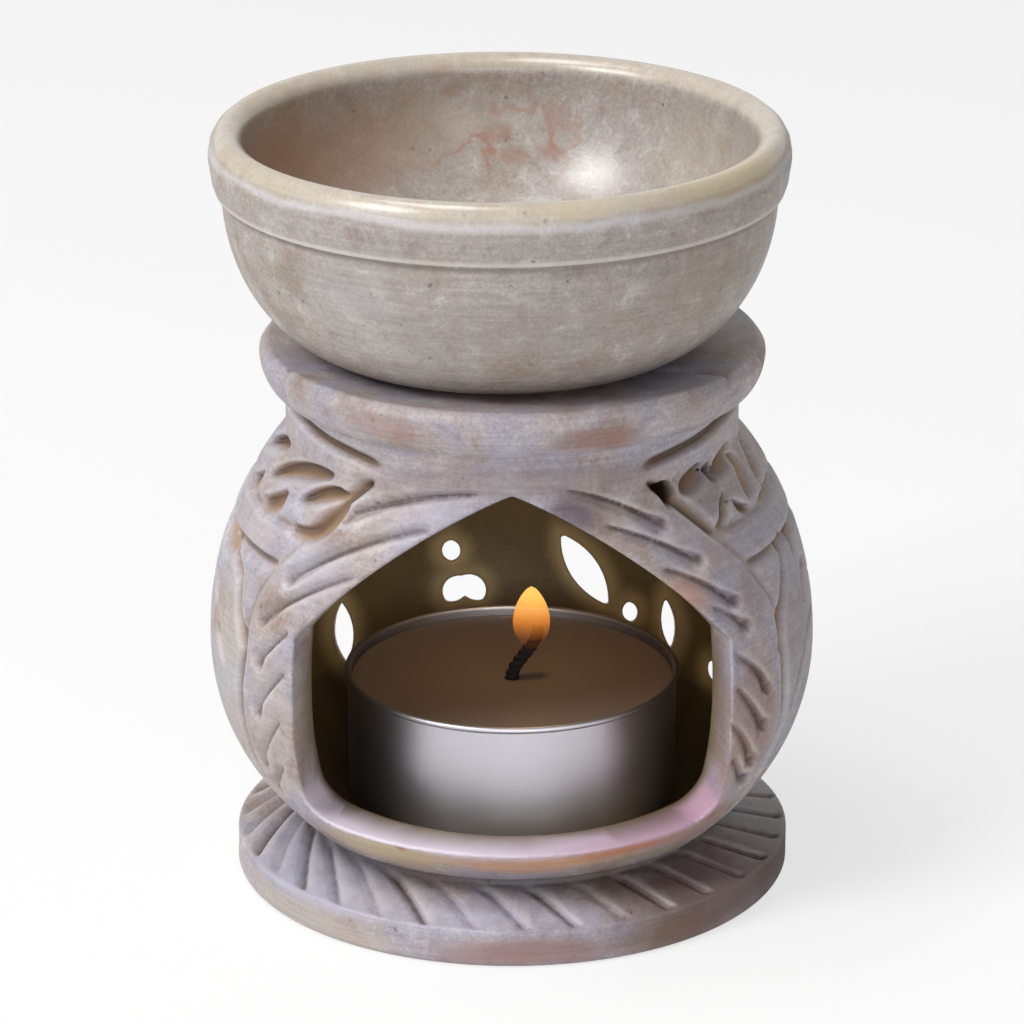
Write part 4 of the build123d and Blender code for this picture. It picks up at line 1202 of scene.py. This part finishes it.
def lathe_tree():
    """Turns a line of profile points round the upright axis, with a little inward unevenness."""
    sockets = [("Steps Round", "NodeSocketInt"), ("Unevenness", "NodeSocketFloat")]
    sockets += [("Uneven Scale", "NodeSocketFloat"), ("Seed", "NodeSocketFloat")]
    sockets += [("Material", "NodeSocketMaterial")]
    tree, given, names = new_tree("turn on lathe", sockets)
    line = given.outputs["Geometry"]
    size = add(tree, "GeometryNodeAttributeDomainSize", {"Geometry": line}, component="MESH")
    count = size.outputs["Point Count"]
    last = value_of(tree, "SUBTRACT", count, 1.0)
    grid = add(tree, "GeometryNodeMeshGrid", {"Size X": last, "Size Y": 1.0, "Vertices X": count,
               "Vertices Y": given.outputs["Steps Round"]}).outputs[0]
    spot = add(tree, "GeometryNodeInputPosition").outputs[0]
    flat = add(tree, "ShaderNodeSeparateXYZ", {0: spot})
    order = value_of(tree, "MULTIPLY_ADD", last, 0.5, flat.outputs[0])
    whole = add(tree, "FunctionNodeFloatToInt", {0: order}, rounding_mode="ROUND").outputs[0]
    profile = add(tree, "GeometryNodeSampleIndex", {"Geometry": line, "Value": spot, "Index": whole},
                  data_type="FLOAT_VECTOR").outputs[0]
    reach = add(tree, "ShaderNodeSeparateXYZ", {0: profile})
    turn = value_of(tree, "MULTIPLY_ADD", flat.outputs[1], math.tau, math.pi)
    x = value_of(tree, "MULTIPLY", reach.outputs[0], value_of(tree, "COSINE", turn))
    y = value_of(tree, "MULTIPLY", reach.outputs[0], value_of(tree, "SINE", turn))
    round_place = add(tree, "ShaderNodeCombineXYZ", {0: x, 1: y, 2: reach.outputs[2]}).outputs[0]
    turned = add(tree, "GeometryNodeSetPosition", {"Geometry": grid, "Position": round_place}).outputs[0]
    merged = add(tree, "GeometryNodeMergeByDistance", {"Geometry": turned, "Distance": 0.002 * MM}).outputs[0]
    outward = add(tree, "GeometryNodeFlipFaces", {"Mesh": merged}).outputs[0]
    uneven = noise(tree, spot, given.outputs["Uneven Scale"], 1.0, given.outputs["Seed"], output=0)
    depth = value_of(tree, "MULTIPLY", uneven, given.outputs["Unevenness"])
    inward = vector_of(tree, "NORMALIZE", vector_of(tree, "MULTIPLY", spot, (-1.0, -1.0, 0.0)))
    push = scaled(tree, inward, depth)
    pushed = add(tree, "GeometryNodeSetPosition", {"Geometry": outward, "Offset": push}).outputs[0]
    finish_tree(tree, pushed, given.outputs["Material"])
    return tree, names


def braid_tree():
    """Winds strands round a path, thinner than the path's hole allows."""
    sockets = [("Strand Radius", "NodeSocketFloat"), ("Braid Radius", "NodeSocketFloat")]
    sockets += [("Turns", "NodeSocketFloat"), ("Material", "NodeSocketMaterial")]
    tree, given, names = new_tree("braid along path", sockets)
    path = add(tree, "GeometryNodeMeshToCurve", {"Mesh": given.outputs["Geometry"]}).outputs[0]
    even = add(tree, "GeometryNodeResampleCurve", {"Curve": path, "Count": 90}).outputs[0]
    share = add(tree, "GeometryNodeSplineParameter").outputs["Factor"]
    tangent = add(tree, "GeometryNodeInputTangent").outputs[0]
    across = vector_of(tree, "CROSS_PRODUCT", tangent, (0.0, 1.0, 0.0))
    other = vector_of(tree, "CROSS_PRODUCT", tangent, across)
    radius = given.outputs["Strand Radius"]
    section = add(tree, "GeometryNodeCurvePrimitiveCircle", {"Resolution": 8, "Radius": radius}).outputs[0]
    full = value_of(tree, "MULTIPLY", given.outputs["Turns"], math.tau)
    joined = add(tree, "GeometryNodeJoinGeometry")
    for strand in range(3):
        turn = value_of(tree, "MULTIPLY_ADD", share, full, math.tau * strand / 3)
        a = scaled(tree, across, value_of(tree, "COSINE", turn))
        b = scaled(tree, other, value_of(tree, "SINE", turn))
        offset = scaled(tree, vector_of(tree, "ADD", a, b), given.outputs["Braid Radius"])
        wound = add(tree, "GeometryNodeSetPosition", {"Geometry": even, "Offset": offset}).outputs[0]
        inputs = {"Curve": wound, "Profile Curve": section, "Fill Caps": True}
        tube = add(tree, "GeometryNodeCurveToMesh", inputs)
        tree.links.new(tube.outputs[0], joined.inputs[0])
    finish_tree(tree, joined.outputs[0], given.outputs["Material"])
    return tree, names


def from_line(name, points, tree, names, **values):
    """A piece made by a geometry tree from a line of points in millimetres."""
    mesh = bpy.data.meshes.new(name)
    steps = [(k, k + 1) for k in range(len(points) - 1)]
    mesh.from_pydata([tuple(c * MM for c in p) for p in points], steps, [])
    piece = plain_object(name, mesh)
    modifier = piece.modifiers.new("shape", "NODES")
    modifier.node_group = tree
    for label, value in values.items():
        modifier[names[label.replace("_", " ")]] = value
    made_plain(piece)
    return piece


def spaced(points, step):
    """The same profile with extra points so that none are further apart than the step."""
    filled = [points[0]]
    for a, b in zip(points, points[1:]):
        parts = max(1, math.ceil(math.dist(a, b) / step))
        for k in range(1, parts + 1):
            filled.append(tuple(p + (q - p) * k / parts for p, q in zip(a, b)))
    return [(r, 0.0, z) for r, z in filled]


def bowl_profile():
    """Profile of the bowl from the middle of its foot, over the lip, to the middle of its hollow."""
    side = BOWL_SIDE_RADIUS - BOWL_FOOT_RADIUS
    lip = LIP_RADIUS - BOWL_SIDE_RADIUS
    height = Z_RIM - Z_LIP
    points = [(0, Z_SEAT), (BOWL_FOOT_RADIUS, Z_SEAT)]
    points += quarter((BOWL_FOOT_RADIUS, Z_LIP), side, Z_LIP - Z_SEAT, -90, 0, 36)
    outer = [(0.5, 0.0), (0.75, 0.15), (1.0, 0.5), (1.0, 0.6)]
    points += [(BOWL_SIDE_RADIUS + out * lip, Z_LIP + up * height) for out, up in outer]
    over = [(0.06, 0.78), (0.2, 0.92), (0.38, 1.0), (0.6, 1.0)]
    points += [(LIP_RADIUS - back * LIP_WIDTH, Z_LIP + up * height) for back, up in over]
    inner = [(0.8, 0.4), (0.94, 0.9)]
    points += [(LIP_RADIUS - back * LIP_WIDTH, Z_RIM - down) for back, down in inner]
    hollow = HOLLOW_RADIUS - HOLLOW_FLAT
    points += quarter((HOLLOW_FLAT, Z_HOLLOW_TOP), hollow, Z_HOLLOW_TOP - Z_BOWL_FLOOR, 0, -90, 40)
    return spaced(points + [(0, Z_BOWL_FLOOR)], 0.8)


def cup_profile():
    """Profile of the thin cup from the middle of its base, over the beaded rim, to the middle inside."""
    side = CUP_RADIUS - CUP_BEAD
    bore = side - CUP_WALL
    points = [(0, Z_FLOOR), (side - CUP_CORNER, Z_FLOOR)]
    points += quarter((side - CUP_CORNER, Z_FLOOR + CUP_CORNER), CUP_CORNER, CUP_CORNER, -90, 0, 6)
    points += [(side, Z_CUP_RIM - 0.75)]
    points += quarter((CUP_RADIUS - 0.35, Z_CUP_RIM - 0.35), 0.35, 0.35, -45, 180, 10)
    points += [(bore, Z_CUP_RIM - 0.5), (bore, Z_FLOOR + CUP_CORNER)]
    points += [(bore - CUP_CORNER + CUP_WALL, Z_FLOOR + CUP_WALL)]
    return spaced(points + [(0, Z_FLOOR + CUP_WALL)], 0.8)


def wax_profile():
    """Profile of the wax, round the wick's tab and its tube below and slightly dished on top."""
    points = [(WICK_BORE, Z_WAX_TOP - 0.5), (WICK_BORE, Z_TUBE_CLEAR), (TUBE_CLEAR, Z_TUBE_CLEAR)]
    points += [(TUBE_CLEAR, Z_TAB_CLEAR), (TAB_CLEAR, Z_TAB_CLEAR), (TAB_CLEAR, Z_WAX_LOW)]
    points += [(WAX_RADIUS - CUP_CORNER, Z_WAX_LOW), (WAX_RADIUS, Z_WAX_LOW + CUP_CORNER)]
    points += [(WAX_RADIUS, Z_WAX_TOP - 0.1), (WAX_RADIUS - 0.4, Z_WAX_TOP)]
    points += [(WAX_RADIUS - 3, Z_WAX_TOP - 0.12), (8, Z_WAX_TOP - 0.2)]
    return spaced(points + [(3, Z_WAX_TOP - 0.3), (WICK_BORE, Z_WAX_TOP - 0.5)], 0.8)


def wick_path():
    """Middle line of the wick, straight in the wax, leaning right above it and upright again in the flame."""
    points = [(0.0, 0.0, wick_low[2] + 0.4), (0.0, 0.0, Z_WAX_TOP)]
    lean = wick_high[0] - 1.2
    rise = wick_high[2] - 0.8 - Z_WAX_TOP
    for k in range(1, 13):
        share = k / 12
        points.append((lean * float(ease(share, -0.08, 0.95)), 0.0, Z_WAX_TOP + rise * share))
    return points


def flame_profile():
    """Profile of the flame, rounded below and drawn to a point above."""
    points = []
    for k in range(25):
        share = k / 24
        swell = math.sin(math.pi * share ** 0.85) ** 0.65 if 0 < share < 1 else 0.0
        points.append((0.5 * FLAME_WIDTH * swell, 0.0, FLAME_LOW + (FLAME_HIGH - FLAME_LOW) * share))
    return points


stone = carved_soapstone()
bowl_stone = turned_soapstone()
aluminium = drawn_aluminium()
wax = paraffin()
char = charred_cotton()
tin = tinplate()
fire = candle_flame()
lathe, lathe_names = lathe_tree()
braid, braid_names = braid_tree()

body = stone_body(stone)
bowl = from_line("turned_bowl", bowl_profile(), lathe, lathe_names, Steps_Round=257, Unevenness=0.12 * MM,
                 Uneven_Scale=40.0, Seed=1.0, Material=bowl_stone)
cup = from_line("drawn_cup", cup_profile(), lathe, lathe_names, Steps_Round=193, Unevenness=0.05 * MM,
                Uneven_Scale=60.0, Seed=2.0, Material=aluminium)
wax_block = from_line("poured_wax", wax_profile(), lathe, lathe_names, Steps_Round=129, Unevenness=0.05 * MM,
                      Uneven_Scale=90.0, Seed=3.0, Material=wax)
wick = from_line("braided_wick", wick_path(), braid, braid_names, Strand_Radius=WICK_STRAND * MM,
                 Braid_Radius=WICK_BRAID * MM, Turns=WICK_TURNS, Material=char)
flame = from_line("flame", flame_profile(), lathe, lathe_names, Steps_Round=49, Unevenness=0.0,
                  Uneven_Scale=100.0, Seed=4.0, Material=fire)
for piece, middle in ((flame, FLAME_MIDDLE), (bowl, BOWL_MIDDLE)):
    for vertex in piece.data.vertices:
        vertex.co.x += middle * MM

for piece in (bowl, cup, wax_block):
    piece.data.set_sharp_from_angle(angle=math.radians(40))
polished = bowl.data.attributes.new("polished", "FLOAT", "POINT")
for vertex in bowl.data.vertices:
    facing_in = vertex.normal.x * vertex.co.x + vertex.normal.y * vertex.co.y < 0.0
    on_top = vertex.co.z > (Z_RIM - 1.2) * MM
    above_foot = vertex.co.z > (Z_BOWL_FLOOR - 0.5) * MM
    polished.data[vertex.index].value = 1.0 if above_foot and (facing_in or on_top) else 0.0
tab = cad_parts["wick_sustainer"]
tab.data.materials.clear()
tab.data.materials.append(tin)

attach(body, "burner")
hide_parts("burner_body")
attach(bowl, "bowl")
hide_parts("oil_bowl")
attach(cup, "tealight")
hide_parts("candle_cup")
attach(wax_block, "tealight")
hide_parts("candle_wax")
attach(wick, "tealight")
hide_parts("candle_wick")
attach(flame, "tealight")


# Floor, light and camera
def pale_floor():
    """White paper under the burner."""
    material, tree, output = new_material("white_paper")
    paper = add(tree, "ShaderNodeBsdfDiffuse", {"Color": tone("#f4f4f4")}).outputs[0]
    bright = add(tree, "ShaderNodeEmission", {"Color": (1.0, 1.0, 1.0, 1.0), "Strength": 1.0}).outputs[0]
    ray = add(tree, "ShaderNodeLightPath")
    lift = value_of(tree, "MULTIPLY", ray.outputs["Is Camera Ray"], 0.7)
    shown = add(tree, "ShaderNodeMixShader", {0: lift, 1: paper, 2: bright})
    tree.links.new(shown.outputs[0], output.inputs[0])
    mesh = bpy.data.meshes.new("paper")
    corners = [(-1, -1), (1, -1), (1, 1), (-1, 1)]
    mesh.from_pydata([(PAPER_HALF * x, PAPER_HALF * y, 0) for x, y in corners], [], [(0, 1, 2, 3)])
    mesh.materials.append(material)
    paper_floor = plain_object("paper", mesh)


def white_world():
    """Even white surroundings, full white to the eye and in reflections, softer as light."""
    world = bpy.data.worlds.new("white_room")
    bpy.context.scene.world = world
    world.use_nodes = True
    tree = world.node_tree
    tree.nodes.clear()
    ray = add(tree, "ShaderNodeLightPath").outputs
    seen = value_of(tree, "MAXIMUM", ray["Is Camera Ray"], ray["Is Glossy Ray"])
    through = value_of(tree, "MAXIMUM", seen, ray["Is Transmission Ray"])
    level = ranged(tree, through, 0.0, 1.0, ROOM_LIGHT, 1.0)
    sky = add(tree, "ShaderNodeBackground", {"Color": (1.0, 1.0, 1.0, 1.0), "Strength": level})
    add(tree, "ShaderNodeOutputWorld", {0: sky.outputs[0]})


def soft_lamp(name, place, aim, width, height, power):
    """Rectangular soft light aimed at a point."""
    data = bpy.data.lights.new(name, "AREA")
    data.shape = "RECTANGLE"
    data.size = width
    data.size_y = height
    data.energy = power
    lamp = bpy.data.objects.new(name, data)
    bpy.context.scene.collection.objects.link(lamp)
    lamp.location = place
    turn = np.array(aim, float) - np.array(place, float)
    flat = math.hypot(turn[0], turn[1])
    lamp.rotation_euler = (math.atan2(flat, -turn[2]), 0.0, math.atan2(turn[1], turn[0]) - math.pi / 2)


def candle_glow():
    """Warm light that the flame throws on the wax and the chamber."""
    data = bpy.data.lights.new("candle_glow", "POINT")
    data.energy = 0.0036
    data.color = tone("#ffd6a2")[:3]
    data.shadow_soft_size = 2.0 * MM
    lamp = bpy.data.objects.new("candle_glow", data)
    bpy.context.scene.collection.objects.link(lamp)
    lamp.location = (FLAME_MIDDLE * MM, 0.0, GLOW_HEIGHT * MM)


pale_floor()
white_world()
for lamp_values in LAMPS:
    soft_lamp(*lamp_values)
candle_glow()
flame.visible_shadow = False

camera_data = bpy.data.cameras.new("camera")
camera_data.lens = CAMERA_LENS
camera_data.sensor_width = 36.0
camera = bpy.data.objects.new("camera", camera_data)
bpy.context.scene.collection.objects.link(camera)
camera.location = CAMERA_PLACE
camera.rotation_euler = (math.pi / 2 - CAMERA_PITCH, 0.0, 0.0)
bpy.context.scene.camera = camera
bpy.context.scene.view_settings.view_transform = "Standard"
